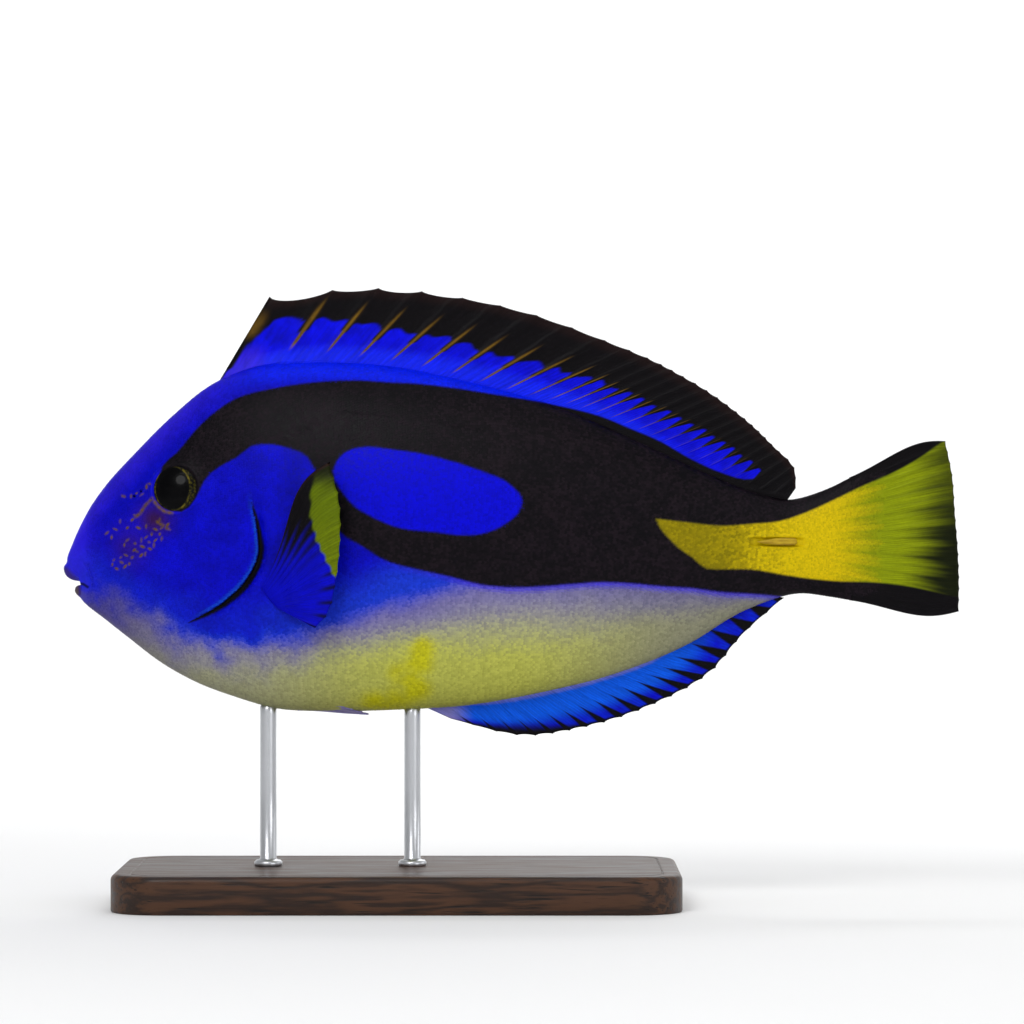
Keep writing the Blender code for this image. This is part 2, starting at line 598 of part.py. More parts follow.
def rod(name, x_mm, grown_body, collection):
    """A round rod from the base up to the belly, its top trimmed to the belly's curve."""
    low = BASE_THICKNESS + GAP
    high = AXIS_HEIGHT - 30.0 * MM
    work = bmesh.new()
    bmesh.ops.create_cone(work, cap_ends=True, segments=20, radius1=ROD_RADIUS, radius2=ROD_RADIUS,
                          depth=high - low)
    bmesh.ops.translate(work, vec=(place(x_mm, 0).x, 0.0, (low + high) / 2), verts=work.verts)
    mesh = bpy.data.meshes.new(name)
    work.to_mesh(mesh)
    work.free()
    made = new_object(name, mesh, collection)
    cut(made, grown_body)
    return made


def paint(obj, colour):
    rgb, roughness, metallic = COLOURS[colour]
    material = bpy.data.materials.get(colour) or bpy.data.materials.new(colour)
    material.use_nodes = True
    shader = material.node_tree.nodes["Principled BSDF"]
    shader.inputs["Base Color"].default_value = (*rgb, 1.0)
    shader.inputs["Roughness"].default_value = roughness
    shader.inputs["Metallic"].default_value = metallic
    obj.data.materials.clear()
    obj.data.materials.append(material)
    obj.data.shade_smooth()
    obj.data.set_sharp_from_angle(angle=math.radians(40))


def new_collection(name, shown=True):
    made = bpy.data.collections.new(name)
    made.hide_render = not shown
    bpy.context.scene.collection.children.link(made)
    return made


def main():
    for obj in list(bpy.data.objects):
        bpy.data.objects.remove(obj)
    fish = new_collection("regal_blue_tang")
    cutters = new_collection("cutters", shown=False)

    whole = body_loft("whole_body", cutters)
    grown = body_loft("grown_body", cutters, grow=GAP)
    half_width = side_finder(whole)

    slits = slit_tubes(half_width, cutters)
    parts = {}
    parts["head"] = body_loft("head", fish)
    parts["trunk"] = body_loft("trunk", fish)
    parts["tail_stalk"] = body_loft("tail_stalk", fish)

    sockets = []
    for side, name in ((-1, "left"), (1, "right")):
        outwards = skin_direction(half_width, EYE_CENTRE, side)
        surface = place(*EYE_CENTRE, side * half_width(*EYE_CENTRE))
        centre = surface + outwards * (EYE_STANDS_OUT - EYE_DEPTH_RADIUS)
        made = egg(f"eye_{name}", centre, outwards, EYE_RADIUS, EYE_DEPTH_RADIUS, fish)
        parts[made.name] = made
        rim = egg(f"orbit_rim_{name}", centre, outwards, RIM_RADIUS, RIM_DEPTH_RADIUS, cutters, 32, 14)
        socket = egg(f"socket_{name}", centre, outwards, EYE_RADIUS + GAP, EYE_DEPTH_RADIUS + GAP, cutters)
        sockets.append((rim, socket))

    joined = new_collection("joined_to_head", shown=False)
    for piece in [*lips(half_width, joined), *[rim for rim, _ in sockets]]:
        if piece.name not in joined.objects:
            joined.objects.link(piece)
    union = parts["head"].modifiers.new("Union", "BOOLEAN")
    union.operation = "UNION"
    union.operand_type = "COLLECTION"
    union.collection = joined
    union.solver = SOLVER
    keep_largest(parts["head"])
    nostrils = []
    for side in (-1, 1):
        for k, (spot, radius) in enumerate(NOSTRILS):
            centre = place(*spot, side * half_width(*spot))
            outwards = skin_direction(half_width, spot, side)
            made = egg(f"nostril_{side}_{k}", centre, outwards, radius, NOSTRIL_DEPTH, cutters, 10, 6)
            nostrils.append(made)
    gap_between_lips = slab("mouth_gap", MOUTH_GAP, MOUTH_HALF_WIDTH, cutters)
    cut(parts["head"], region("behind_gill", GILL_LINE, True, 0.0, cutters), *slits,
        *[socket for _, socket in sockets], gap_between_lips, *nostrils)
    cut(parts["trunk"], region("before_gill", GILL_LINE, False, GAP / MM, cutters), *slits,
        region("behind_stalk_cut", STALK_CUT, True, 0.0, cutters))

    blades = []
    for side, name in ((-1, "left"), (1, "right")):
        blade = scalpel(f"scalpel_{name}", side, half_width, fish)
        parts[blade.name] = blade
        grown_blade = new_object(f"groove_{name}", blade.data.copy(), cutters)
        swell(grown_blade, GAP * 1.2)
        blades.append(grown_blade)
    cut(parts["tail_stalk"], region("before_stalk_cut", STALK_CUT, False, GAP / MM, cutters), *blades)

    for made in (dorsal_fin(fish), anal_fin(fish), caudal_fin(fish)):
        parts[made.name] = made
    for side, name in ((-1, "left"), (1, "right")):
        for made in (pectoral_fin(f"pectoral_fin_{name}", side, half_width, fish),
                     pelvic_fin(f"pelvic_fin_{name}", side, fish)):
            parts[made.name] = made
    for name, made in parts.items():
        if "_fin" in name:
            cut(made, grown)

    parts["stand_base"] = base_plate(fish)
    for name, x_mm in ROD_XS.items():
        parts[name] = rod(name, x_mm, grown, fish)

    for name, made in parts.items():
        paint(made, next(colour for start, colour in NODE_COLOURS.items() if name.startswith(start)))
    for made in list(cutters.objects):
        made.hide_render = True
        made.display_type = "WIRE"
        made.hide_set(True)


main()
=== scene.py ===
import math

import bmesh
import bpy
import numpy as np
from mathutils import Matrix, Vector
from mathutils.bvhtree import BVHTree


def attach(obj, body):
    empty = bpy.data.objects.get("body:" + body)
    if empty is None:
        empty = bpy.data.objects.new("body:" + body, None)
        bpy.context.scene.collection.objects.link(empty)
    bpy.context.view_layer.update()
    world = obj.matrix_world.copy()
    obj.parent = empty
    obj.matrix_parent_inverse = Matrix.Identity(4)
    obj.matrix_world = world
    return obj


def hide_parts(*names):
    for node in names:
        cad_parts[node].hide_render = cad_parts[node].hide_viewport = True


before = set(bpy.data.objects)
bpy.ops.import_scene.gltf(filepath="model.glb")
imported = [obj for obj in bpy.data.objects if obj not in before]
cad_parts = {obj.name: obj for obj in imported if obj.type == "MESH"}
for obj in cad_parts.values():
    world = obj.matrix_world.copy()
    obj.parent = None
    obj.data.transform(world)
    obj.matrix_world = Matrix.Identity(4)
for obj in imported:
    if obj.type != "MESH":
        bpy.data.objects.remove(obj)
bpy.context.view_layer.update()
scene = bpy.context.scene
mm = 0.001
circle = 2 * math.pi
weldWithin = 2e-6  # metres
nudge = 1e-6  # keeps a point that falls on a ray with that ray
rng = np.random.default_rng(7)
fish = {"length": 240.0, "axisHeight": 96.0, "widestLevel": 0.52, "bellyRoundness": 0.94, "cornerPower": 2.4}


# An array of points in metres from millimetres behind the snout, to the right and above the axis.
def toWorld(x, y, z):
    x, y, z = np.broadcast_arrays(np.asarray(x, float), y, z)
    return np.stack([(x - fish["length"] / 2) * mm, y * mm, (z + fish["axisHeight"]) * mm], axis=-1)


def toFish(points):
    x, y, z = np.moveaxis(np.asarray(points) / mm, -1, 0)
    return x + fish["length"] / 2, y, z - fish["axisHeight"]


# That many shares from 0 to 1.
def evenly(count):
    return np.linspace(0.0, 1.0, count)


# The distance run at each knot, from the steps between them.
def distanceRun(steps):
    return np.concatenate([[0.0], np.cumsum(steps)])


# A smooth curve through the knots, read at shares 0 to 1 of its length or of knotsAt.
def smoothLine(knots, at, knotsAt=None):
    knots = np.asarray(knots, float).reshape(len(knots), -1)
    if knotsAt is None:
        steps = np.linalg.norm(np.diff(knots[:, :2], axis=0), axis=1)
        knotsAt = distanceRun(steps) / steps.sum()
    s = np.asarray(knotsAt, float)
    slope = np.gradient(knots, s, axis=0)
    at = np.clip(np.atleast_1d(np.asarray(at, float)), 0.0, 1.0)
    i = np.clip(np.searchsorted(s, at, side="right") - 1, 0, len(s) - 2)
    h = (s[i + 1] - s[i])[:, None]
    t = ((at - s[i]) / (s[i + 1] - s[i]))[:, None]
    return (
        (2 * t**3 - 3 * t**2 + 1) * knots[i]
        + (t**3 - 2 * t**2 + t) * h * slope[i]
        + (-2 * t**3 + 3 * t**2) * knots[i + 1]
        + (t**3 - t**2) * h * slope[i + 1]
    )


# From 0 at low to 1 at high, smoothly.
def fade(low, high, value):
    t = np.clip((np.asarray(value, float) - low) / (high - low), 0.0, 1.0)
    return t * t * (3.0 - 2.0 * t)


# A bell of height 1 where the value is 0.
def bell(value, width):
    return np.exp(-((value / width) ** 2))


# Distance from each point to a line of knots, and the share of the line's length where it is nearest.
def lineDistance(x, z, line):
    line = np.asarray(line, float)
    x, z = np.asarray(x, float), np.asarray(z, float)
    lengths = np.linalg.norm(np.diff(line, axis=0), axis=1)
    starts = distanceRun(lengths)
    best = np.full(x.shape, 1e9)
    share = np.zeros(x.shape)
    for k, (a, b) in enumerate(zip(line[:-1], line[1:])):
        d = b - a
        t = np.clip(((x - a[0]) * d[0] + (z - a[1]) * d[1]) / max(d @ d, 1e-9), 0.0, 1.0)
        gap = np.hypot(x - a[0] - t * d[0], z - a[1] - t * d[1])
        closer = gap < best
        best = np.where(closer, gap, best)
        share = np.where(closer, (starts[k] + t * lengths[k]) / starts[-1], share)
    return best, share


# The same for a smooth curve through the knots.
def curveDistance(x, z, knots, count):
    return lineDistance(x, z, smoothLine(knots, evenly(count)))


# Distance to a closed outline, negative inside it.
def signedDistance(x, z, outline):
    outline = np.asarray(outline, float)
    closed = np.vstack([outline, outline[:1]])
    best, _ = lineDistance(x, z, closed)
    inside = np.zeros(np.shape(x), bool)
    for (ax, az), (bx, bz) in zip(closed[:-1], closed[1:]):
        crosses = (az > z) != (bz > z)
        with np.errstate(divide="ignore", invalid="ignore"):
            at = (bx - ax) * (z - az) / (bz - az) + ax
        inside ^= crosses & (x < at)
    return np.where(inside, -best, best)


# The same for a closed outline drawn smoothly through the knots.
def outlineDistance(x, z, knots, count):
    outline = smoothLine([*knots, knots[0]], np.linspace(0.0, 1.0, count, endpoint=False))
    return signedDistance(x, z, outline)


# For each place among count rows, the row before it and the share of the way on to the next.
def rowBefore(place, count):
    first = np.clip(np.floor(place + nudge).astype(int), 0, count - 2)
    return first, place - first


def between(rows, first, part):
    return rows[first] + (rows[first + 1] - rows[first]) * part


# Puts a mesh in the scene as an object with smooth shading.
def showMesh(mesh):
    mesh.shade_smooth()
    made = bpy.data.objects.new(mesh.name, mesh)
    scene.collection.objects.link(made)
    return made


def finishObject(work, name):
    mesh = bpy.data.meshes.new(name)
    work.to_mesh(mesh)
    work.free()
    return showMesh(mesh)


def vertexArray(mesh, source="co"):
    values = np.empty(len(mesh.vertices) * 3, np.float64 if source == "co" else np.float32)
    if source == "co":
        mesh.vertices.foreach_get("co", values)
    else:
        mesh.vertex_normals.foreach_get("vector", values)
    return values.reshape(-1, 3).astype(float)


def writeVertices(mesh, points):
    mesh.vertices.foreach_set("co", np.asarray(points, np.float64).ravel())
    mesh.update()


def readFloats(mesh, name):
    values = np.empty(len(mesh.vertices), np.float32)
    mesh.attributes[name].data.foreach_get("value", values)
    return values.astype(float)


def writeFloats(mesh, name, values):
    layer = mesh.attributes.get(name) or mesh.attributes.new(name, "FLOAT", "POINT")
    layer.data.foreach_set("value", np.asarray(values, np.float32))


def writeVectors(mesh, name, values):
    layer = mesh.attributes.new(name, "FLOAT_VECTOR", "POINT")
    layer.data.foreach_set("vector", values.reshape(-1).astype(np.float32))


# Grids of columns by rows, one behind another and welded at their borders, put in place by place(u, v,
# sheet), where u and v run from 0 to 1. Every second sheet faces the other way.
def sheetMesh(columns, rows, sheets, place):
    work = bmesh.new()
    layerU = work.verts.layers.float.new("u")
    layerV = work.verts.layers.float.new("v")
    spots = []
    for sheet in range(sheets):
        made = bmesh.ops.create_grid(work, x_segments=columns, y_segments=rows, size=0.5)
        spots += [(vert.co.x + 0.5, vert.co.y + 0.5, sheet) for vert in made["verts"]]
        if sheet % 2:
            faces = {face for vert in made["verts"] for face in vert.link_faces}
            bmesh.ops.reverse_faces(work, faces=list(faces))
    u, v, sheet = np.array(spots).T
    points = place(u, v, sheet.astype(int))
    for vert, a, b, point in zip(work.verts, u, v, points):
        vert[layerU], vert[layerV] = a, b
        vert.co = point
    bmesh.ops.remove_doubles(work, verts=work.verts, dist=weldWithin)
    bmesh.ops.recalc_face_normals(work, faces=work.faces)
    return work


# Skin

skinSettings = {
    "rings": 250,
    "around": 240,
    "coarse": (120, 96),  # rings and points round of the body that the other pieces are placed by
    "headCrowding": 1.35,
    "sideCrowding": 0.24,
    "inset": 0.14,
    # top (x, z), bottom (x, z), half width, pinch power, how far the corner of the mouth lies behind
    "ribs": (
        (6.4, -10.2, 6.4, -10.4, 0.0, 1.0, 0.0),
        (4.6, -9.9, 5.0, -10.6, 1.5, 1.0, 1.8),
        (2.2, -9.4, 3.8, -10.8, 2.5, 1.0, 3.6),
        (0.9, -8.5, 3.2, -11.4, 2.8, 1.0, 3.9),
        (0.15, -7.0, 3.1, -12.6, 3.1, 1.0, 3.6),
        (0.1, -5.8, 3.7, -13.5, 3.3, 1.0, 3.0),
        (0.9, -4.6, 4.6, -14.3, 3.35, 1.0, 2.2),
        (1.0, -3.5, 5.1, -15.0, 3.4, 1.0, 1.5),
        (2.4, 0.3, 6.3, -16.2, 3.9, 1.0, 0.6),
        (6.0, 8.0, 10.6, -19.5, 5.6, 1.0, 0.0),
        (11.4, 16.0, 17.6, -25.0, 7.9, 1.0, 0.0),
        (19.4, 24.8, 26.0, -31.4, 10.2, 1.02, 0.0),
        (29.0, 34.4, 35.6, -36.8, 12.3, 1.06, 0.0),
        (39.4, 42.8, 45.6, -40.6, 14.2, 1.1, 0.0),
        (51.4, 47.9, 56.8, -43.8, 15.7, 1.14, 0.0),
        (69.0, 49.3, 71.6, -44.6, 16.7, 1.18, 0.0),
        (90.4, 47.8, 90.4, -44.2, 16.4, 1.2, 0.0),
        (111.8, 43.4, 109.0, -43.0, 14.9, 1.2, 0.0),
        (133.2, 37.2, 129.2, -39.4, 12.6, 1.16, 0.0),
        (154.6, 27.9, 149.2, -34.2, 10.0, 1.12, 0.0),
        (173.4, 19.0, 168.0, -26.4, 7.6, 1.06, 0.0),
        (185.4, 14.2, 182.8, -17.6, 5.9, 1.0, 0.0),
        (195.4, 12.3, 196.2, -13.2, 4.7, 0.95, 0.0),
        (205.4, 15.4, 205.4, -14.0, 3.8, 0.95, 0.0),
        (211.6, 18.45, 211.6, -15.0, 3.1, 0.95, 0.0),
        (216.6, 20.4, 216.6, -15.5, 1.6, 0.95, 0.0),
        (221.6, 22.4, 221.6, -16.3, 0.3, 0.95, 0.0),
        (222.6, 22.6, 222.6, -16.4, 0.02, 0.95, 0.0),
    ),
    "gillLine": (
        (46.4, 34), (50, 18), (51.3, 11), (52.6, 4.6), (53, -2.2), (50, -8.8), (44, -14.8), (33.8, -20.8),
    ),
    "lipFold": ((4.6, -3.6), (6.6, -6.4), (7.5, -9.6), (7.0, -12.6)),
    "cheekEdge": ((40.0, 5.0), (41.8, -2.0), (40.6, -8.6), (36.0, -14.2), (28.6, -18.4)),
    # along each fold its height, the distance of its crest from the line, and its width
    "folds": (("lipFold", -0.3, 0.0, 0.42), ("lipFold", 0.12, 0.95, 0.5), ("cheekEdge", -0.16, 0.0, 0.7)),
    "behindGill": ((90.0, -30.0), (90.0, 34.0)),  # closes the area behind the gill line
    "coverHeight": 0.5,
    "coverReach": 4.5,
    "coverEdge": (-0.22, 0.0),
    "slitDepth": 0.9,
    "slitFront": (0.0, 0.3),
    "slitBack": (0.5, 2.4),
    "slitOpens": (0.3, 0.48),  # shares of the gill line
    "slitCloses": (0.84, 1.0),
    "nostrils": (((19.6, 13.0), 0.5), ((21.4, 14.3), 0.42)),
    "nostrilDepth": 0.7,
    "nostrilRim": (0.16, 0.2, 0.22),  # height, crest and width, as of a fold
    "scalpelSlot": ((184.6, 0.9), (197.6, 0.7)),
    "slotDepth": 0.75,
    "slotWall": (0.75, 1.35),
    "slotRim": (0.14, 1.6, 0.4),
    "lateralLine": (
        (56, 26), (70, 33.5), (90, 34), (112, 29.5), (134, 22.5), (156, 13.5), (172, 6), (183, 3),
    ),
    "lateralHeight": 0.11,
    "lateralWidth": 0.45,
}
eye = {
    "centre": (30.8, 15.0), "radius": 8.3, "depthRadius": 5.0, "standsOut": 1.6, "rim": 6.4,
    "bowlDepth": 3.4, "lidHeight": 0.5, "lidWidth": 0.62, "swellHeight": 0.3, "swellReach": 4.6,
    "reach": 13.0,
}
# how near each feature the skin's grid is divided, and divided again for the finest
fineAreas = {
    "gill": 1.9, "orbit": (4.9, 8.2), "mouthEnd": 10.0, "mouthTop": -2.0, "nostril": 0.9, "slot": 1.9,
    "snout": (19.0, 1.5), "snoutRadius": 9.0, "finestGill": 0.55, "finestNostril": 0.45,
    "finestAlong": (0.25, 0.98),
}


# The steps from rib to rib along one edge, none of them too short.
def ribSteps(edge):
    return np.maximum(np.linalg.norm(np.diff(edge, axis=0), axis=1), 0.4)


ribs = np.array(skinSettings["ribs"])
ribRun = distanceRun(0.5 * ribSteps(ribs[:, :2]) + 0.5 * ribSteps(ribs[:, 2:4]))
ribAt = ribRun / ribRun[-1]


# A point of the body's side, in mm, by its share of the way from mouth to tail and its turn round.
def bodyPoint(share, angle):
    topX, topZ, lowX, lowZ, half, power, swept = smoothLine(ribs, share, ribAt).T
    half = np.maximum(half, 0.0)
    wideX = lowX + (topX - lowX) * fish["widestLevel"]
    wideZ = lowZ + (topZ - lowZ) * fish["widestLevel"]
    up, side = np.sin(angle), np.cos(angle)
    endX, endZ = np.where(up >= 0, topX, lowX), np.where(up >= 0, topZ, lowZ)
    shape = np.where(up >= 0, power, fish["bellyRoundness"])
    y = np.sign(side) * np.abs(side) ** shape * half
    x = wideX + (endX - wideX) * np.abs(up) + swept * np.abs(side) ** fish["cornerPower"]
    return x, y, wideZ + (endZ - wideZ) * np.abs(up)


def skinPlace(u, v, sheet):
    turn = v * circle
    angle = turn - skinSettings["sideCrowding"] * np.sin(2 * turn)
    return toWorld(*bodyPoint(u ** skinSettings["headCrowding"], angle))


# Divides the edges whose middle is wanted, given as an array of points in world metres.
def localGrid(work, wanted):
    edges = list(work.edges)
    middles = np.array([(edge.verts[0].co + edge.verts[1].co) / 2 for edge in edges])
    chosen = [edge for edge, take in zip(edges, wanted(middles)) if take]
    bmesh.ops.subdivide_edges(work, edges=chosen, cuts=1, use_grid_fill=True)


# Half the body's width at points of its side.
def sideWidth(x, z):
    found = []
    outside = 80.0  # from where a ray looks inwards
    for a, b in zip(np.atleast_1d(x), np.atleast_1d(z)):
        start = Vector(toWorld(a, outside, b))
        hit = bodyTree.ray_cast(start, Vector((0, -1, 0)))[0]
        found.append(hit.y / mm if hit else 0.0)
    return np.array(found)


# The eye's centre and the way it looks, in mm, read from the body's own shape.
def eyeFrame(side):
    x, z = eye["centre"]
    step = 4.0
    width = sideWidth(np.array([x, x + step, x - step, x, x]), np.array([z, z, z, z + step, z - step]))
    outwards = np.array([-(width[1] - width[2]) / (2 * step), side, -(width[3] - width[4]) / (2 * step)])
    outwards /= np.linalg.norm(outwards)
    return np.array([x, side * width[0], z]), outwards


# How far points lie from an eye's axis, and the way it looks.
def aroundEye(x, y, z, side):
    centre, outwards = eyeFrame(side)
    spot = np.stack([x, y, z], axis=1) - centre
    depth = spot @ outwards
    return np.linalg.norm(spot - depth[:, None] * outwards, axis=1), outwards


# True within reach of a nostril's edge.
def byNostril(x, z, reach):
    near = np.zeros(x.shape, bool)
    for (a, b), radius in skinSettings["nostrils"]:
        near |= np.hypot(x - a, z - b) < radius + reach
    return near


# True where the skin carries details finer than its grid.
def fineNeeded(points):
    x, y, z = toFish(points)
    fromEye = np.hypot(x - eye["centre"][0], z - eye["centre"][1])
    wanted = (fromEye > fineAreas["orbit"][0]) & (fromEye < fineAreas["orbit"][1])
    wanted |= lineDistance(x, z, skinSettings["gillLine"])[0] < fineAreas["gill"]
    wanted |= (x < fineAreas["mouthEnd"]) & (z < fineAreas["mouthTop"])
    wanted |= byNostril(x, z, fineAreas["nostril"])
    wanted |= lineDistance(x, z, skinSettings["scalpelSlot"])[0] < fineAreas["slot"]
    wanted |= np.hypot(x - fineAreas["snout"][0], z - fineAreas["snout"][1]) < fineAreas["snoutRadius"]
    return wanted & (np.abs(y) > 1e-3)


def finestNeeded(points):
    x, _, z = toFish(points)
    start, end = fineAreas["finestAlong"]
    gill, along = lineDistance(x, z, skinSettings["gillLine"])
    slit = (gill < fineAreas["finestGill"]) & (along > start) & (along < end)
    return slit | byNostril(x, z, fineAreas["finestNostril"])


# How open the gill cover's edge is along its line.
def slitStrength(along):
    return fade(*skinSettings["slitOpens"], along) * (1.0 - fade(*skinSettings["slitCloses"], along))


# Distance to the gill cover's edge, the share along it, and 1.0 where the point lies behind it.
def gillSides(x, z):
    line = smoothLine(skinSettings["gillLine"], evenly(60))
    gap, along = lineDistance(x, z, line)
    behind = signedDistance(x, z, np.vstack([line, skinSettings["behindGill"]])) < 0
    return gap, along, behind.astype(float)


# Moves the skin's points for the gill cover, nostrils, folds, blade slots, lateral line and eye rims.
def shapeSkin(mesh):
    look = skinSettings
    points = vertexArray(mesh)
    x, y, z = toFish(points)
    gap, along, behind = gillSides(x, z)
    ahead = np.where(behind > 0.5, gap, -gap)
    cover = look["coverHeight"] * np.clip(1.0 + ahead / look["coverReach"], 0.0, 1.0) ** 2 * (ahead <= 0)
    cover = cover * (1.0 - fade(*look["coverEdge"], ahead) * 0.6)
    groove = -look["slitDepth"] * fade(*look["slitFront"], ahead) * (1.0 - fade(*look["slitBack"], ahead))
    move = slitStrength(along) * np.where(ahead <= 0, cover, groove) - look["inset"]
    height, crest, width = look["nostrilRim"]
    for (a, b), radius in look["nostrils"]:
        away = np.hypot(x - a, (z - b) * 1.1)
        move += height * bell(away - radius - crest, width)
        move -= look["nostrilDepth"] * (1.0 - fade(radius * 0.45, radius * 1.02, away))
    for line, height, crest, width in look["folds"]:
        gap, along = curveDistance(x, z, look[line], 30)
        move += height * bell(gap - crest, width) * np.sin(math.pi * along)
    gap, _ = lineDistance(x, z, look["scalpelSlot"])
    height, crest, width = look["slotRim"]
    move -= look["slotDepth"] * (1.0 - fade(*look["slotWall"], gap))
    move += height * bell(gap - crest, width)
    gap, along = curveDistance(x, z, look["lateralLine"], 40)
    move += look["lateralHeight"] * bell(gap, look["lateralWidth"]) * fade(0.0, 0.06, along)
    points = points + vertexArray(mesh, "normal") * move[:, None] * mm
    for side in (-1, 1):
        away, outwards = aroundEye(x, y, z, side)
        bowl = -eye["bowlDepth"] * (1.0 - fade(0.55, 1.0, away / (eye["rim"] - 0.25)))
        lid = eye["lidHeight"] * bell(away - eye["rim"] - 0.35, eye["lidWidth"])
        swell = 1.0 - fade(eye["rim"] + 0.5, eye["rim"] + eye["swellReach"], away)
        raised = (lid + eye["swellHeight"] * swell) * (away > eye["rim"] - 0.6)
        change = np.where((np.sign(y) == side) & (away < eye["reach"]), bowl + raised, 0.0)
        points = points + outwards * change[:, None] * mm
    writeVertices(mesh, points)


coarse = sheetMesh(*skinSettings["coarse"], 1, skinPlace)
bodyTree = BVHTree.FromBMesh(coarse)
coarse.free()
work = sheetMesh(skinSettings["rings"], skinSettings["around"], 1, skinPlace)
bmesh.ops.holes_fill(work, edges=[edge for edge in work.edges if edge.is_boundary], sides=0)
localGrid(work, fineNeeded)
localGrid(work, finestNeeded)
bmesh.ops.recalc_face_normals(work, faces=work.faces)
skin = finishObject(work, "skin")
shapeSkin(skin.data)
print("skin:", len(skin.data.polygons), "faces")


# Markings of skin, scales and fins

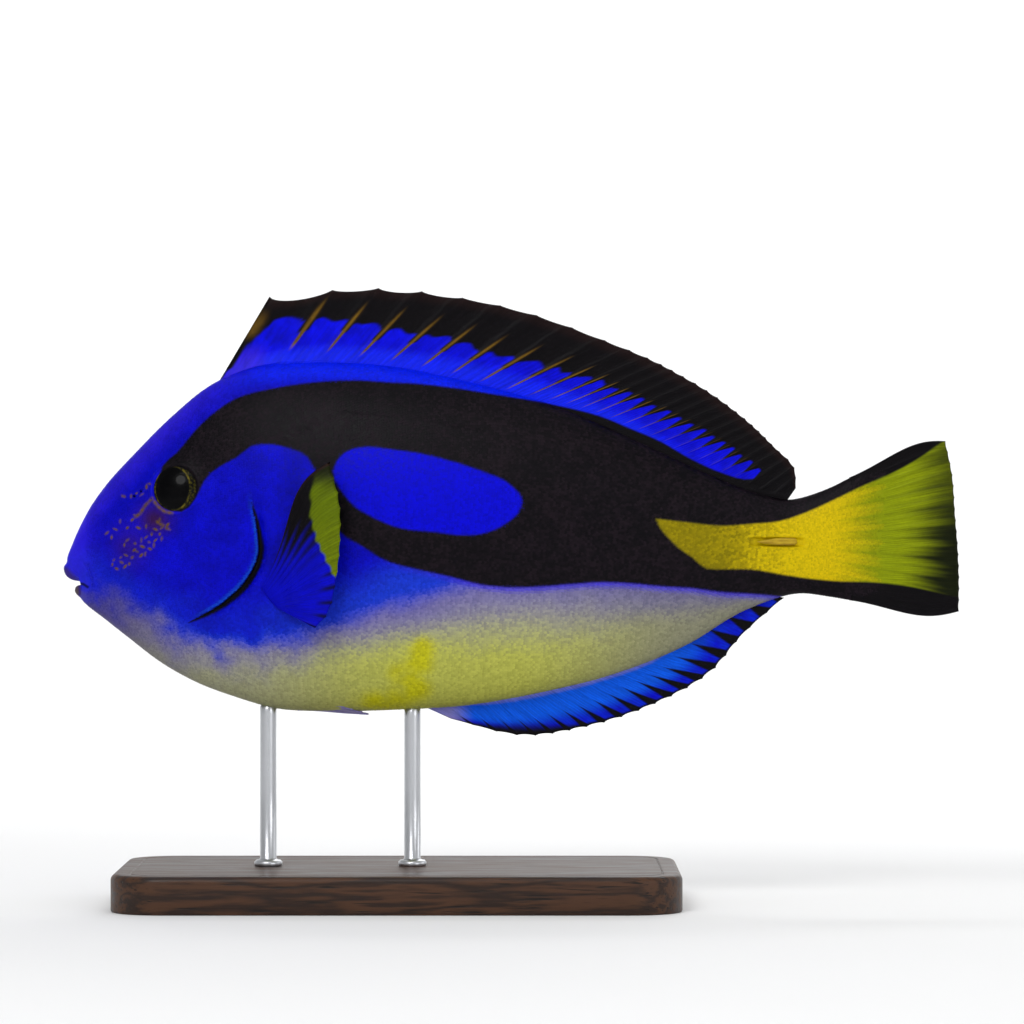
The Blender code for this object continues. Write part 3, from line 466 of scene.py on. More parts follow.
markings = {
    "black": (
        (26, 15.8), (27.3, 21.2), (31.3, 24.9), (35.4, 30), (39.4, 34), (47.4, 39.4), (55.4, 41.5),
        (63.5, 42.9), (71.5, 43.7), (79.6, 43.9), (87.6, 43.4), (95.6, 43), (103.7, 42.1), (111.7, 40.9),
        (119.7, 39.6), (127.8, 38.3), (135.8, 36.7), (143.8, 34.6), (151.9, 31.3), (159.9, 27.9),
        (167.9, 23.3), (176, 19.6), (184, 17.7), (188.3, 19), (192.1, 22.2), (197.4, 25.4), (213.5, 33.5),
        (248.3, 44.2), (248.3, -30.8), (213.5, -28.1), (200.1, -15.8), (192.1, -13.9), (184, -13.1),
        (176, -12.6), (167.9, -11.5), (159.9, -11), (151.9, -10.2), (143.8, -9.9), (135.8, -10.4),
        (127.8, -11), (119.7, -11.2), (111.7, -10.4), (104.7, -8.6), (99.9, -7.5), (92.9, -5.9), (86.5, -4),
        (80.9, -0.5), (75.5, 2.7), (72.6, 6.2), (71, 10.7), (69.4, 17.4), (67.5, 20.9), (65.6, 23.8),
        (61.9, 25.4), (54.6, 26.8), (51.2, 26.3), (47.4, 23.3), (43.4, 21.2), (39.4, 18.2), (36.2, 12.1),
        (32.9, 8.8), (28.7, 9.9),
    ),
    "oval": (
        (72.9, 19.6), (74.2, 22.8), (76.1, 24.6), (80.9, 26), (88.1, 25.4), (95.4, 24.4), (102.3, 22.8),
        (111.7, 19.8), (119.7, 16.1), (122.9, 12.1), (122.4, 9.4), (118.4, 5.6), (111.7, 2.9), (106.3, 2.7),
        (99.9, 3.5), (90.5, 4.6), (83.3, 7.5), (78.5, 10.4), (75.3, 14.2), (73.4, 17.4),
    ),
    "wedge": (
        (158.6, 7), (167.9, 5.9), (176, 5.1), (184, 5.6), (192.1, 6.4), (196.6, 7.8), (201.1, 9.6),
        (206.5, 12.1), (214, 15.7), (221.5, 18.9), (229, 23), (235.4, 27.4), (246.5, 34), (250, 20.1),
        (250, 2), (250, -15.5), (239.5, -13.9), (233.3, -12.5), (227.4, -11.2), (218.6, -10.1), (206.5, -9.6),
        (200.1, -9), (192.1, -7.8), (184, -6.4), (176, -6.4), (172, -6.2), (167.9, -2.9), (165.3, -1.3),
        (162.6, 1.3), (159.9, 4.3),
    ),
    "bellyLine": (
        (-9, -9.5), (3.2, -10.4), (6.2, -11.3), (10.2, -12.2), (17.4, -15.4), (25.3, -18), (29.5, -21.4),
        (35, -23.8), (47.4, -24.4), (60, -23.4), (68, -20.6), (76, -17.6), (84, -14.9), (92, -12.4),
        (101, -10), (111.7, -8), (127.8, -6.6), (143.8, -6.2), (159.9, -6.6), (176, -7.5), (260, -9),
    ),
    "dots": (
        (20.3, 13.8), (18.8, 13), (16.7, 13), (21.7, 13.4), (23, 15.5), (23.8, 16.3), (17.9, 4.6),
        (15.9, 6.3), (14.6, 4.2), (12.3, 3.2), (13.6, 2.1), (19.8, 8), (19.2, 6.7), (23, 5), (20.9, 4.6),
        (17.9, 1.3), (17.1, 0), (20, 0.4), (19.8, -1.3), (21.7, 1.3), (22, -0.4), (23, 2.1), (24.5, 2.9),
        (23.8, 0.8), (25.5, 1.3), (25.1, 0), (25.5, 4.2), (27.2, 4.6), (26.7, 2.9), (29.2, 4.2), (28.8, 5.4),
        (26.7, 6.7), (17.5, -2.7), (19.2, -3.3), (18.4, -5), (20.5, -1.7), (21.7, -2.7), (22.8, -2.3),
        (15, -6.3), (14.2, -4), (13.8, -5.2), (16.3, -4.6), (17.3, -5.7), (27.2, 1.7), (24, -1), (16.1, -3.3),
    ),
    "dashes": (
        ((26, 6.2), (28.9, 4.3)), ((24.6, 12.4), (22.6, 10.4), (21.3, 8.3), (20, 7.5)),
        ((25.2, 11.6), (26.3, 10.2), (28, 8.9), (30, 8.5)),
    ),
    "patches": ((96.0, -27.5), (95.5, -31.5), (90.5, -34.5), (95.0, -38.0), (86.0, -42.0), (80.0, -42.5)),
    "lips": ((0.6, -7.2), (3.0, -9.9), (3.4, -12.6)),
    "mouth": ((2.8, -10.1), (5.8, -10.5), (6.9, -11.2)),
    # from where to where, behind the snout, each of these grows from 0 to 1
    "fades": {
        "pureYellow": (168.0, 200.0), "throat": (92.0, 44.0), "chin": (42.0, 8.0), "rear": (120.0, 172.0),
    },
    # dark blots of the face: strength, middle and squared sizes
    "dusk": ((0.95, 25.0, 6.8, 20.0, 16.0), (0.5, 18.5, -0.5, 26.0, 34.0)),
    "gillShadow": (0.36, 0.999),  # from where to where along the gill line
    "gillShadowWidth": 1.7,
    # length and width of a dot, and its turn: least or middle value, change, and its pace from dot to dot
    "dotSizes": ((0.42, 0.36, 3.7), (0.25, 0.13, 5.1)),
    "dotTurn": (0.6, 1.1, 2.1),
    "dotStrengths": (1.0, 0.8, 1.0, 0.65),
    "fan": (172.0, 1.5),  # where the tail fin's streaks meet
    "streaks": ((0.5, 61.0, 0.0), (0.3, 143.0, 1.0), (0.2, 287.0, 0.0)),  # strength, pace and start
    "tail": {
        "low": (19.0, -3.0), "limeWaves": (202.0, 214.0), "lime": (204.0, 221.0), "dark": (220.0, 240.0),
        "border": (237.6, 240.0), "darkStreaks": (210.0, 222.0),
    },
}


# The lime and the dark of the tail fin, streaked along its rays, from 0 to 1.
def tailStreaks(x, z):
    tail = markings["tail"]
    fanX, fanZ = markings["fan"]
    turn = np.arctan2(z - fanZ, x - fanX)
    streak = sum(height * np.sin(turn * pace + start) for height, pace, start in markings["streaks"])
    low = fade(*tail["low"], z)
    lime = fade(*tail["lime"], x + 4.0 * streak * fade(*tail["limeWaves"], x))
    dark = fade(*tail["dark"], x + 3.5 * streak) * (0.7 + 0.3 * low)
    dark = np.maximum(dark, fade(*tail["border"], x + 0.8 * low) * (0.65 + 0.35 * low))
    return lime, np.maximum(dark, 0.3 * fade(0.1, 0.8, streak) * fade(*tail["darkStreaks"], x))


# The small ochre dots and dashes before and below the eye.
def ochreMarks(x, z):
    ochre = np.zeros(x.shape)
    middleTurn, swing, turnPace = markings["dotTurn"]
    for k, (a, b) in enumerate(markings["dots"]):
        long, short = (least + more * abs(math.sin(pace * k)) for least, more, pace in markings["dotSizes"])
        turn = middleTurn + swing * math.sin(turnPace * k)
        dx = (x - a) * math.cos(turn) + (z - b) * math.sin(turn)
        dz = -(x - a) * math.sin(turn) + (z - b) * math.cos(turn)
        strong = markings["dotStrengths"][k % 4]
        ochre = np.maximum(ochre, strong * (1.0 - fade(0.5, 1.35, np.hypot(dx / long, dz / short))))
    for dash in markings["dashes"]:
        gap, along = lineDistance(x, z, dash)
        broken = 0.78 + 0.2 * np.sin(along * 23.0)
        ochre = np.maximum(ochre, broken * (1.0 - fade(0.1, 0.75, gap)))
    return ochre


# Painted shadow: a black crescent in the gill opening, behind the gill cover's edge.
def paintedGillShadow(slit, along, behind):
    start, end = markings["gillShadow"]
    bow = np.sin(math.pi * np.clip((along - start) / (1.0 - start), 0.0, 1.0)) ** 0.7
    wide = markings["gillShadowWidth"] * bow
    return fade(wide + 0.3, wide - 0.2, slit) * behind * (along > start) * (along < end)


# The black band with its oval window, the yellow wedge, and the distance to the band's edge.
def bandMarks(x, z):
    toBlack = outlineDistance(x, z, markings["black"], 220)
    oval = fade(0.3, -0.3, outlineDistance(x, z, markings["oval"], 80))
    wedge = fade(0.35, -0.35, outlineDistance(x, z, markings["wedge"], 100))
    return fade(0.28, -0.28, toBlack) * (1.0 - oval), oval, wedge, toBlack


# How much of each marking covers each point of the body, from 0 to 1, and its depth below the belly line.
def sideMarks(x, z):
    black, oval, wedge, toBlack = bandMarks(x, z)
    under = np.interp(x, ribs[8:, 2], ribs[8:, 3])
    belly = smoothLine(markings["bellyLine"], evenly(120))
    dusk = [
        strong * np.exp(-((x - alongAt) ** 2 / long + (z - upAt) ** 2 / tall))
        for strong, alongAt, upAt, long, tall in markings["dusk"]
    ]
    profile = smoothLine(ribs[7:], evenly(80))
    fromBack = np.interp(x, profile[:, 0], profile[:, 1]) - z
    # painted sheen: lilac along the top of the head and over the snout
    paintedSheen = fade(11.0, 0.0, fromBack) * fade(70.0, 20.0, x) * 0.8
    fromLips, fromMouth, fromPatch = (
        lineDistance(x, z, markings[line])[0] for line in ("lips", "mouth", "patches")
    )
    slit, along, behind = gillSides(x, z)
    hollow = fade(0.9, 0.3, slit) * slitStrength(along) * behind
    for (a, b), radius in skinSettings["nostrils"]:
        hollow = np.maximum(hollow, fade(radius * 1.05, radius * 0.6, np.hypot(x - a, z - b)))
    return {
        "black": black,
        "fringe": fade(2.2, 0.0, toBlack) * fade(80.0, 112.0, x) * (z < 0.0),
        "lime": tailStreaks(x, z)[0],
        "oval": oval,
        "yellow": wedge,
        "depth": -signedDistance(x, z, np.vstack([belly, [(260.0, -90.0), (-9.0, -90.0)]])),
        "low": fade(0.95, 0.2, (z - under) / np.maximum(-10.0 - under, 1.0)),
        "gillShadow": paintedGillShadow(slit, along, behind),
        "rimLight": bell(slit - 0.55, 0.5) * (1.0 - behind) * slitStrength(along),
        "dusk": np.max(dusk, axis=0),
        "paintedSheen": np.maximum(paintedSheen, fade(13.0, 2.0, x) * 0.6),
        # painted light: the back drawn a brighter blue where its rounded top turns away from the lamps
        "paintedBackLight": fade(7.5, 3.0, fromBack) * fade(36.0, 60.0, x) * fade(190.0, 150.0, x),
        "patch": fade(5.5, 1.0, fromPatch),
        "lip": fade(2.5, 0.4, fromLips) * (0.55 + 0.45 * fade(-9.6, -10.6, z)),
        "hollow": np.maximum(hollow, fade(0.6, 0.15, fromMouth)),
        **{name: fade(start, end, x) for name, (start, end) in markings["fades"].items()},
    }


x, _, z = toFish(vertexArray(skin.data))
for markName, values in {**sideMarks(x, z), "ochre": ochreMarks(x, z)}.items():
    writeFloats(skin.data, markName, values)
print("markings ready")


# Materials


# Joins a signal to a node's input, or sets a plain value there.
def feed(tree, socket, value):
    if isinstance(value, Signal):
        tree.links.new(value.socket, socket)
    else:
        socket.default_value = value


# One output of a material's nodes, which takes part in plain arithmetic.
class Signal:
    def __init__(self, tree, socket):
        self.tree, self.socket = tree, socket

    def node(self, kind, settings, inputs, output=0):
        made = self.tree.nodes.new(kind)
        for key, value in settings.items():
            setattr(made, key, value)
        for key, value in inputs.items():
            feed(self.tree, made.inputs[key], value)
        return Signal(self.tree, made.outputs[output])

    def math(self, operation, first, second=0.0, third=0.0):
        return self.node("ShaderNodeMath", {"operation": operation}, {0: first, 1: second, 2: third})

    # 0 below low, 1 above high, and smooth between.
    def step(self, low, high):
        return self.node("ShaderNodeMapRange", {"interpolation_type": "SMOOTHSTEP"},
                         {0: self, 1: low, 2: high, 3: 0.0, 4: 1.0})

    # The colour first where this is 0 and second where it is 1.
    def over(self, first, second):
        return self.node("ShaderNodeMix", {"data_type": "RGBA"}, {0: self, 6: first, 7: second}, 2)

    # This colour, lighter or darker by a factor.
    def shaded(self, factor):
        return self.node("ShaderNodeVectorMath", {"operation": "SCALE"}, {0: self, "Scale": factor})

    # This place, drawn out along its three axes.
    def stretched(self, factors):
        return self.node("ShaderNodeVectorMath", {"operation": "MULTIPLY"}, {0: self, 1: factors})

    # Even noise from 0 to 1 over the place that this signal gives.
    def noise(self, scale, detail=2.0):
        return self.node("ShaderNodeTexNoise", {}, {"Vector": self, "Scale": scale, "Detail": detail})

    # A value kept on the mesh under that name, or a vector where output is 1.
    def mark(self, name, output=2):
        return self.node("ShaderNodeAttribute", {"attribute_name": name}, {}, output)


# The method behind an operator, for a signal on its left or, where turned, on its right.
def arithmetic(operation, turned):
    if turned:
        return lambda self, other: self.math(operation, other, self)
    return lambda self, other: self.math(operation, self, other)


for sign, operation in (("add", "ADD"), ("sub", "SUBTRACT"), ("mul", "MULTIPLY"), ("truediv", "DIVIDE")):
    setattr(Signal, f"__{sign}__", arithmetic(operation, False))
    setattr(Signal, f"__r{sign}__", arithmetic(operation, True))


# An empty material and a first signal, its place in the object's own measures.
def newMaterial(name):
    material = bpy.data.materials.new(name)
    material.use_nodes = True
    tree = material.node_tree
    return material, Signal(tree, tree.nodes.new("ShaderNodeTexCoord").outputs["Object"])


# Fills in a material's shader; bump is a height signal and the distance in metres that it stands for.
def closeMaterial(material, place, inputs, bump=None):
    shader = material.node_tree.nodes["Principled BSDF"]
    if bump is not None:
        relief = {"Height": bump[0], "Distance": bump[1], "Strength": 1.0}
        inputs = {**inputs, "Normal": place.node("ShaderNodeBump", {}, relief)}
    for key, value in inputs.items():
        feed(place.tree, shader.inputs[key], value)
    return material


# A colour for the nodes from display values of 0 to 255.
def linear(red, green, blue):
    values = [v / 255 for v in (red, green, blue)]
    return (*[v / 12.92 if v <= 0.04045 else ((v + 0.055) / 1.055) ** 2.4 for v in values], 1.0)


colours = {
    "blue": (0, 1, 170), "brightBlue": (2, 4, 200), "violet": (50, 32, 208), "dusk": (52, 18, 66),
    "skyBlue": (22, 56, 206), "paintedLightBlue": (4, 36, 244), "oval": (0, 1, 206), "cyan": (10, 74, 190),
    "black": (8, 6, 11), "brown": (25, 17, 24), "yellow": (208, 182, 3), "oldYellow": (138, 124, 4),
    "brightYellow": (198, 194, 12), "lime": (128, 140, 4), "lilac": (116, 110, 168), "grey": (152, 150, 144),
    "olive": (186, 188, 86), "chin": (70, 60, 126), "rearGrey": (100, 97, 112), "ochre": (100, 72, 8),
    "lip": (50, 34, 104), "lipEdge": (84, 72, 56),
    "finBlue": (2, 6, 214), "finDeepBlue": (0, 2, 184), "finSky": (8, 30, 222), "finCyan": (2, 82, 214),
    "analBlue": (0, 34, 190), "finBlack": (6, 4, 7), "finBrown": (26, 13, 13), "spine": (106, 78, 18),
    "tailDark": (16, 21, 2), "finOlive": (88, 104, 2), "finLilac": (138, 130, 182),
    "paleLilac": (158, 152, 190), "iris": (12, 13, 12), "irisFleck": (58, 54, 14),
    "pupilRing": (112, 100, 26), "pupil": (1, 1, 2), "eyeRim": (9, 8, 12),
    "blade": (186, 156, 30), "bladeStreak": (142, 112, 10),
    "wood": (38, 23, 15), "woodGrain": (72, 45, 27), "woodPore": (20, 12, 8), "steel": (196, 198, 202),
}
colours = {name: linear(*shown) for name, shown in colours.items()}


# A colour with further ones laid over it in turn, each as far as its cover goes.
def layered(colour, *layers):
    for cover, tint in layers:
        colour = cover.over(colour, colours[tint] if isinstance(tint, str) else tint)
    return colour


# The fish's own colours at a spot of its skin or scale, from the markings kept on the mesh.
def skinColour(place, spot, tone):
    mark = place.mark
    cloudy, patchy = spot.noise(150.0, 3.0), spot.noise(60.0)
    grain = tone - 0.5
    throat, rear, lip = mark("throat"), mark("rear"), mark("lip")
    depth = mark("depth") + (spot.noise(110.0, 4.0) - 0.5) * (5.0 + throat * 12.0) + grain * 0.9
    back = layered(
        cloudy.step(0.3, 0.72).over(colours["blue"], colours["brightBlue"]),
        # painted sheen, lilac near the head's outline
        (mark("paintedSheen") * (0.45 + cloudy * 0.9), "violet"),
        # painted light, a brighter blue along the back
        (mark("paintedBackLight") * (0.5 + cloudy * 0.5), "paintedLightBlue"),
        (mark("dusk"), "dusk"),
        (mark("rimLight") * 0.8, "cyan"),
        (depth.step(-13.0, -1.0) * (1.0 - throat * 0.75), "skyBlue"),
    )
    olive = (mark("low") + (patchy - 0.5) * 0.6 + grain * 0.15).step(0.1, 0.95)
    olive = olive * depth.step(0.0, 12.0) * (1.0 - throat * 0.55) * (1.0 - rear * 0.45)
    patch = mark("patch") * (patchy + cloudy * 0.6).step(0.62, 0.95)
    belly = layered(
        depth.step(-1.0, 6.0).over(colours["skyBlue"], colours["lilac"]),
        (depth.step(4.0, 15.0) * (1.0 - throat * 0.35), "grey"),
        (olive, "olive"),
        (rear * 0.55, "rearGrey"),
        (mark("chin") * 0.8, "chin"),
        (patch * 0.9, "brightYellow"),
    )
    darker = (cloudy + grain * 0.7).step(0.15, 1.05).over(colours["black"], colours["brown"])
    yellow = (mark("pureYellow") + (cloudy - 0.5) * 0.25 + grain * 0.3).step(0.0, 1.0)
    yellow = layered(yellow.over(colours["oldYellow"], colours["yellow"]), (mark("lime"), "lime"))
    return layered(
        back,
        (depth.step(-3.0, 2.5), belly),
        (mark("fringe") * 0.75, "violet"),
        (mark("oval"), "oval"),
        (mark("black"), darker),
        (mark("yellow"), yellow),
        (mark("ochre") * place.noise(1100.0).step(0.2, 0.42), "ochre"),
        # painted shadow in the gill opening
        (mark("gillShadow"), "black"),
        (lip.step(0.0, 0.7), "lip"),
        (lip.step(0.6, 1.0) * (0.4 + cloudy * 0.8), "lipEdge"),
    )


skinLooks = {
    "grain": 1300.0,  # scale of the bare skin's tones
    "tones": 0.3,
    # painted shade at each scale's root, under the edge of the scale ahead
    "paintedRootShade": 0.14,  # how much darker a scale is at its root
    # painted shade in the gill slit, nostrils and mouth
    "paintedHollowShade": 0.85,
    "roughness": 0.36,
    "toneRoughness": 0.16,
    "specular": 0.075,
    "pores": 2600.0,
    "poreHeight": 0.00004,
}


# The finish of the skin, or with coat that of the scales over it, which keep a place and tone for each; it
# paints shade into the gill slit, nostrils and mouth, and at each scale's root.
def skinMaterial(name, coat):
    look = skinLooks
    material, place = newMaterial(name)
    spot = place.mark("rootPlace", 1) if coat else place
    tone = place.mark("tone") if coat else place.noise(look["grain"], 1.0)
    shade = (tone - 0.5) * look["tones"] + 1.0
    if coat:
        # painted shade: each scale darker towards its root, where the scale ahead covers it
        shade = shade * (1.0 - look["paintedRootShade"] + look["paintedRootShade"] * place.mark("outer"))
    # painted shade: darker in the gill slit, nostrils and mouth
    shade = shade * (1.0 - look["paintedHollowShade"] * place.mark("hollow"))
    return closeMaterial(material, place, {
        "Base Color": skinColour(place, spot, tone).shaded(shade),
        "Roughness": look["roughness"] + tone * look["toneRoughness"],
        "Specular IOR Level": look["specular"],
    }, (place.noise(look["pores"]), look["poreHeight"]))


skin.data.materials.append(skinMaterial("skin_finish", False))
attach(skin, "root")
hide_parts("head", "trunk", "tail_stalk")


# Scales, each a small lifted shield over the skin

scaleSettings = {
    "spacing": 0.74,  # on the flank
    "least": 0.5,  # on the face and the tail base
    "face": (62.0, 22.0),  # from where to where they grow smaller
    "tailBase": (176.0, 205.0),
    "first": 5.0,  # row, along the body's middle line
    "rowStep": 0.92,  # in spacings
    "from": 6.5,
    "to": 219.0,
    "rearWave": (1.5, 1.7),  # height and pace of the last row's line
    "hollowest": 0.55,
    "eyeGap": 0.35,
    "slotGap": 1.5,
    "lips": ((0.6, -7.2), (5.0, -10.2), (3.4, -12.6)),
    "lipGap": 2.4,
    "strayed": (0.0006, 0.0022),  # shares and radians that a root may stray
    "ahead": 0.002,  # share of the body to the spot that shows which way is back
    "tilt": 0.07,
    "growth": 0.08,
    "length": 1.5,  # of a scale, in spacings
    "width": 1.12,
    "endWidths": (0.7, 0.62),  # shares of the width at root and tip
    "shoulder": 0.8,  # share of the length that the tip's corners keep
    "covered": 0.3,  # share of its length ahead of its root
    "lift": 0.085,
    "crown": 0.035,
    "sunk": 0.03,
    "patchSize": 0.003,
    "most": 24000,  # scales in a piece
}


def scaleSize(x):
    most, least = scaleSettings["spacing"], scaleSettings["least"]
    onFace, onTail = (fade(*scaleSettings[area], x) for area in ("face", "tailBase"))
    return most + (least - most) * np.maximum(onFace, onTail)


# Staggered rows of roots round the body, with their share of the way back and turn round it.
def scaleRoots():
    shares = evenly(900)
    x, _, z = bodyPoint(shares, np.zeros(900))
    station = distanceRun(np.hypot(np.diff(x), np.diff(z)))
    turns = np.linspace(0.0, circle, 721)
    found = []
    at = scaleSettings["first"]
    while at < station[-1] - 1.2:
        share = np.interp(at, station, shares)
        size = scaleSize(np.interp(share, shares, x))
        ring = np.stack(bodyPoint(np.full(721, share), turns))
        length = distanceRun(np.linalg.norm(np.diff(ring), axis=0))
        count = max(12, int(length[-1] / size))
        places = (np.arange(count) + 0.5 * (len(found) % 2)) / count * length[-1]
        angles = np.interp(places, length, turns)
        found.append(np.stack([np.full(count, share), angles, np.full(count, size)], 1))
        at += size * scaleSettings["rowStep"]
    return np.concatenate(found)


# One scale's points as (along, across), their lift at the free edge, and the faces between them.
def scaleTemplate():
    work = bmesh.new()
    bmesh.ops.create_grid(work, x_segments=2, y_segments=2, size=0.5)
    spots = np.array([vert.co for vert in work.verts])
    faces = np.array([[vert.index for vert in face.verts] for face in work.faces])
    work.free()
    along, across = spots[:, 0] + 0.5, spots[:, 1]
    rounded = np.where((along > 0.9) & (np.abs(across) > 0.2), scaleSettings["shoulder"], along)
    rootWidth, tipWidth = scaleSettings["endWidths"]
    narrow = np.where(along > 0.9, tipWidth, np.where(along < 0.1, rootWidth, 1.0))
    return rounded, across * narrow, along, faces


# A piece of four-cornered faces from arrays of its points and their numbers.
def facesObject(name, points, faces):
    mesh = bpy.data.meshes.new(name)
    mesh.vertices.add(len(points))
    mesh.loops.add(faces.size)
    mesh.polygons.add(len(faces))
    mesh.vertices.foreach_set("co", points.reshape(-1))
    mesh.loops.foreach_set("vertex_index", faces.reshape(-1).astype(np.int32))
    mesh.polygons.foreach_set("loop_start", np.arange(0, faces.size, 4, dtype=np.int32))
    mesh.update(calc_edges=True)
    return showMesh(mesh)


# True where the skin carries scales.
def scalesWanted(x, y, z, marks):
    look = scaleSettings
    wave, pace = look["rearWave"]
    keep = (x > look["from"]) & (x < look["to"] + wave * np.sin(z * pace))
    keep &= marks["hollow"] < look["hollowest"]
    for side in (-1, 1):
        keep &= ~((aroundEye(x, y, z, side)[0] < eye["rim"] + look["eyeGap"]) & (np.sign(y) == side))
    keep &= lineDistance(x, z, skinSettings["scalpelSlot"])[0] > look["slotGap"]
    return keep & (lineDistance(x, z, look["lips"])[0] > look["lipGap"])


def buildScales():
    look = scaleSettings
    rows = scaleRoots()
    strayed = rng.uniform(-1.0, 1.0, (len(rows), 2)) * look["strayed"]
    share = np.clip(rows[:, 0] + strayed[:, 0], 0.0, 1.0)
    angle = rows[:, 1] + strayed[:, 1]
    base = toWorld(*bodyPoint(share, angle))
    ahead = toWorld(*bodyPoint(np.clip(share + look["ahead"], 0.0, 1.0), angle))
    tree = BVHTree.FromObject(skin, bpy.context.evaluated_depsgraph_get())
    nearest = [tree.find_nearest(Vector(point)) for point in base]
    spots, normals = np.array([found[0] for found in nearest]), np.array([found[1] for found in nearest])
    x, y, z = toFish(spots)
    marks = sideMarks(x, z)
    keep = np.flatnonzero(scalesWanted(x, y, z, marks))
    marks = {name: values[keep] for name, values in marks.items()}
    spots, normals, size, back = spots[keep], normals[keep], rows[keep, 2], (ahead - base)[keep]
    unwrap = np.stack([share[keep], (angle[keep] / circle) % 1.0], 1) * 0.99 + 0.005
    back -= np.sum(back * normals, axis=1, keepdims=True) * normals
    back /= np.linalg.norm(back, axis=1, keepdims=True)
    across = np.cross(normals, back)
    tilt = rng.normal(0.0, look["tilt"], len(keep))[:, None]
    back, across = back + across * tilt, across - back * tilt
    grown = 1.0 + rng.uniform(-look["growth"], look["growth"], len(keep))
    along, wide, lift, faces = scaleTemplate()
    length = size * look["length"] * grown * mm
    width = size * look["width"] * grown * mm
    height = look["lift"] * (size / look["spacing"])[:, None] * lift - look["sunk"] * (1.0 - lift)
    height = height + look["crown"] * (np.abs(wide) < 0.1) * (lift > 0.2)
    points = (
        spots[:, None]
        + back[:, None] * (length[:, None] * (along - look["covered"]))[..., None]
        + across[:, None] * (width[:, None] * wide)[..., None]
        + normals[:, None] * (height * mm)[..., None]
    )
    marks["tone"] = rng.uniform(0.0, 1.0, len(keep))
    order = np.argsort(spots[:, 0], kind="stable")
    corners = len(along)
    pieces = []
    for number, part in enumerate(np.array_split(order, math.ceil(len(order) / look["most"]))):
        count = len(part)
        allFaces = (faces[None] + np.arange(count)[:, None, None] * corners).reshape(-1, 4)
        piece = facesObject(f"scales_{number + 1}", points[part].reshape(-1, 3), allFaces)
        # the sharp markings run over a scale, and the others have one value for each
        x, _, z = toFish(points[part].reshape(-1, 3))
        black, oval, wedge, _ = bandMarks(x, z)
        kept = {name: np.repeat(values[part], corners) for name, values in marks.items()}
        kept |= {"black": black, "oval": oval, "yellow": wedge, "ochre": ochreMarks(x, z),
                 "gillShadow": paintedGillShadow(*gillSides(x, z)), "outer": np.tile(lift, count)}
        for name, values in kept.items():
            writeFloats(piece.data, name, values)
        writeVectors(piece.data, "rootPlace", np.repeat(spots[part], corners, axis=0))
        corner = np.stack([along - 0.5, wide], 1) * look["patchSize"]
        place = (unwrap[part][:, None] + corner[None]).reshape(-1, 2)
        uvs = piece.data.uv_layers.new(name="OFBake")
        uvs.data.foreach_set("uv", place[allFaces.reshape(-1)].reshape(-1).astype(np.float32))
        pieces.append(piece)
    return pieces


scalePieces = buildScales()
scaleFinish = skinMaterial("scale_finish", True)
for number, piece in enumerate(scalePieces):
    piece.data.materials.append(scaleFinish)
    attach(piece, "root")
scaleCount = sum(len(piece.data.polygons) for piece in scalePieces) // 4
print("scales:", scaleCount, "in", len(scalePieces), "pieces")


# Fins

# what a fin's own settings don't say; sunk is how deep it stands in the body
finDefaults = {
    "rayWidth": 0.1, "ruffle": 0.0, "sunk": 3.0, "fillet": 0.0, "filletReach": 0.9, "filletLoss": 0.45,
    "rootShape": None,
    "notchPower": 0.7, "rootPower": 1.6, "rayTaper": 0.6, "splitFrom": 0.35, "innerSplit": 0.35,
}


# A fin between rays from roots to tips, in mm, thin between them and ridged along each.
def finPiece(name, roots, tips, settings, bend=None):
    settings = {**finDefaults, **settings}
    roots, tips = np.asarray(roots, float), np.asarray(tips, float)
    count, rows = len(roots), settings["rows"]
    columns = (count - 1) * settings["perGap"]
    notch = np.broadcast_to(np.asarray(settings["notch"], float), (count,))
    ridges = np.array(settings["ridge"])

    def place(u, v, sheet):
        first, part = rowBefore(u * (count - 1), count)
        part = np.clip(part, 0.0, 1.0)
        dip = notch[first] * (4.0 * part * (1.0 - part)) ** settings["notchPower"]
        root = between(roots, first, part[:, None])
        tip = between(tips, first, part[:, None])
        centre = root + (tip - root) * (v * (1.0 - dip))[:, None]
        if bend is not None:
            centre = centre + bend(u, v)
        across = roots[first + 1] - roots[first] + (tips[first + 1] - tips[first])
        normal = np.cross(across, tip - root)
        normal /= np.linalg.norm(normal, axis=1, keepdims=True)
        normal *= np.where(normal[:, 1:2] * np.mean(roots[:, 1] + 1e-3) < 0, -1.0, 1.0)
        split = settings["split"] * fade(settings["splitFrom"], 1.0, v)
        near = np.minimum(part, 1.0 - part)
        near = np.minimum(np.abs(near - split), np.abs(near - split * settings["innerSplit"]))
        ridge = between(ridges, first, part) * bell(near, settings["rayWidth"])
        half = settings["thin"] + ridge * (1.0 - settings["rayTaper"] * v)
        rootHalf = settings["rootShape"](u) if settings["rootShape"] else settings["rootHalf"]
        fleshy = rootHalf * np.clip(1.0 - v / settings["fall"], 0.0, 1.0) ** settings["rootPower"]
        height = v * np.linalg.norm(tip - root, axis=1) - settings["sunk"]
        fillet = settings["fillet"] * (1.0 - settings["filletLoss"] * u)
        fillet = fillet * np.exp(-np.abs(height + 0.5) / settings["filletReach"])
        half = np.maximum(np.maximum(half, fleshy), fillet)
        border = np.minimum(np.minimum(u, 1.0 - u) * columns, np.minimum(v, 1.0 - v) * rows)
        border = np.clip(border, 0.0, 1.0)
        half = half * np.sqrt(border * (2.0 - border))
        ruffle = np.sin(part * math.pi) ** 2 * settings["ruffle"] * v
        spot = centre + normal * (half * np.where(sheet == 0, 1.0, -1.0) + ruffle)[:, None]
        return toWorld(*spot.T)

    return finishObject(sheetMesh(columns, rows, 2, place), name)


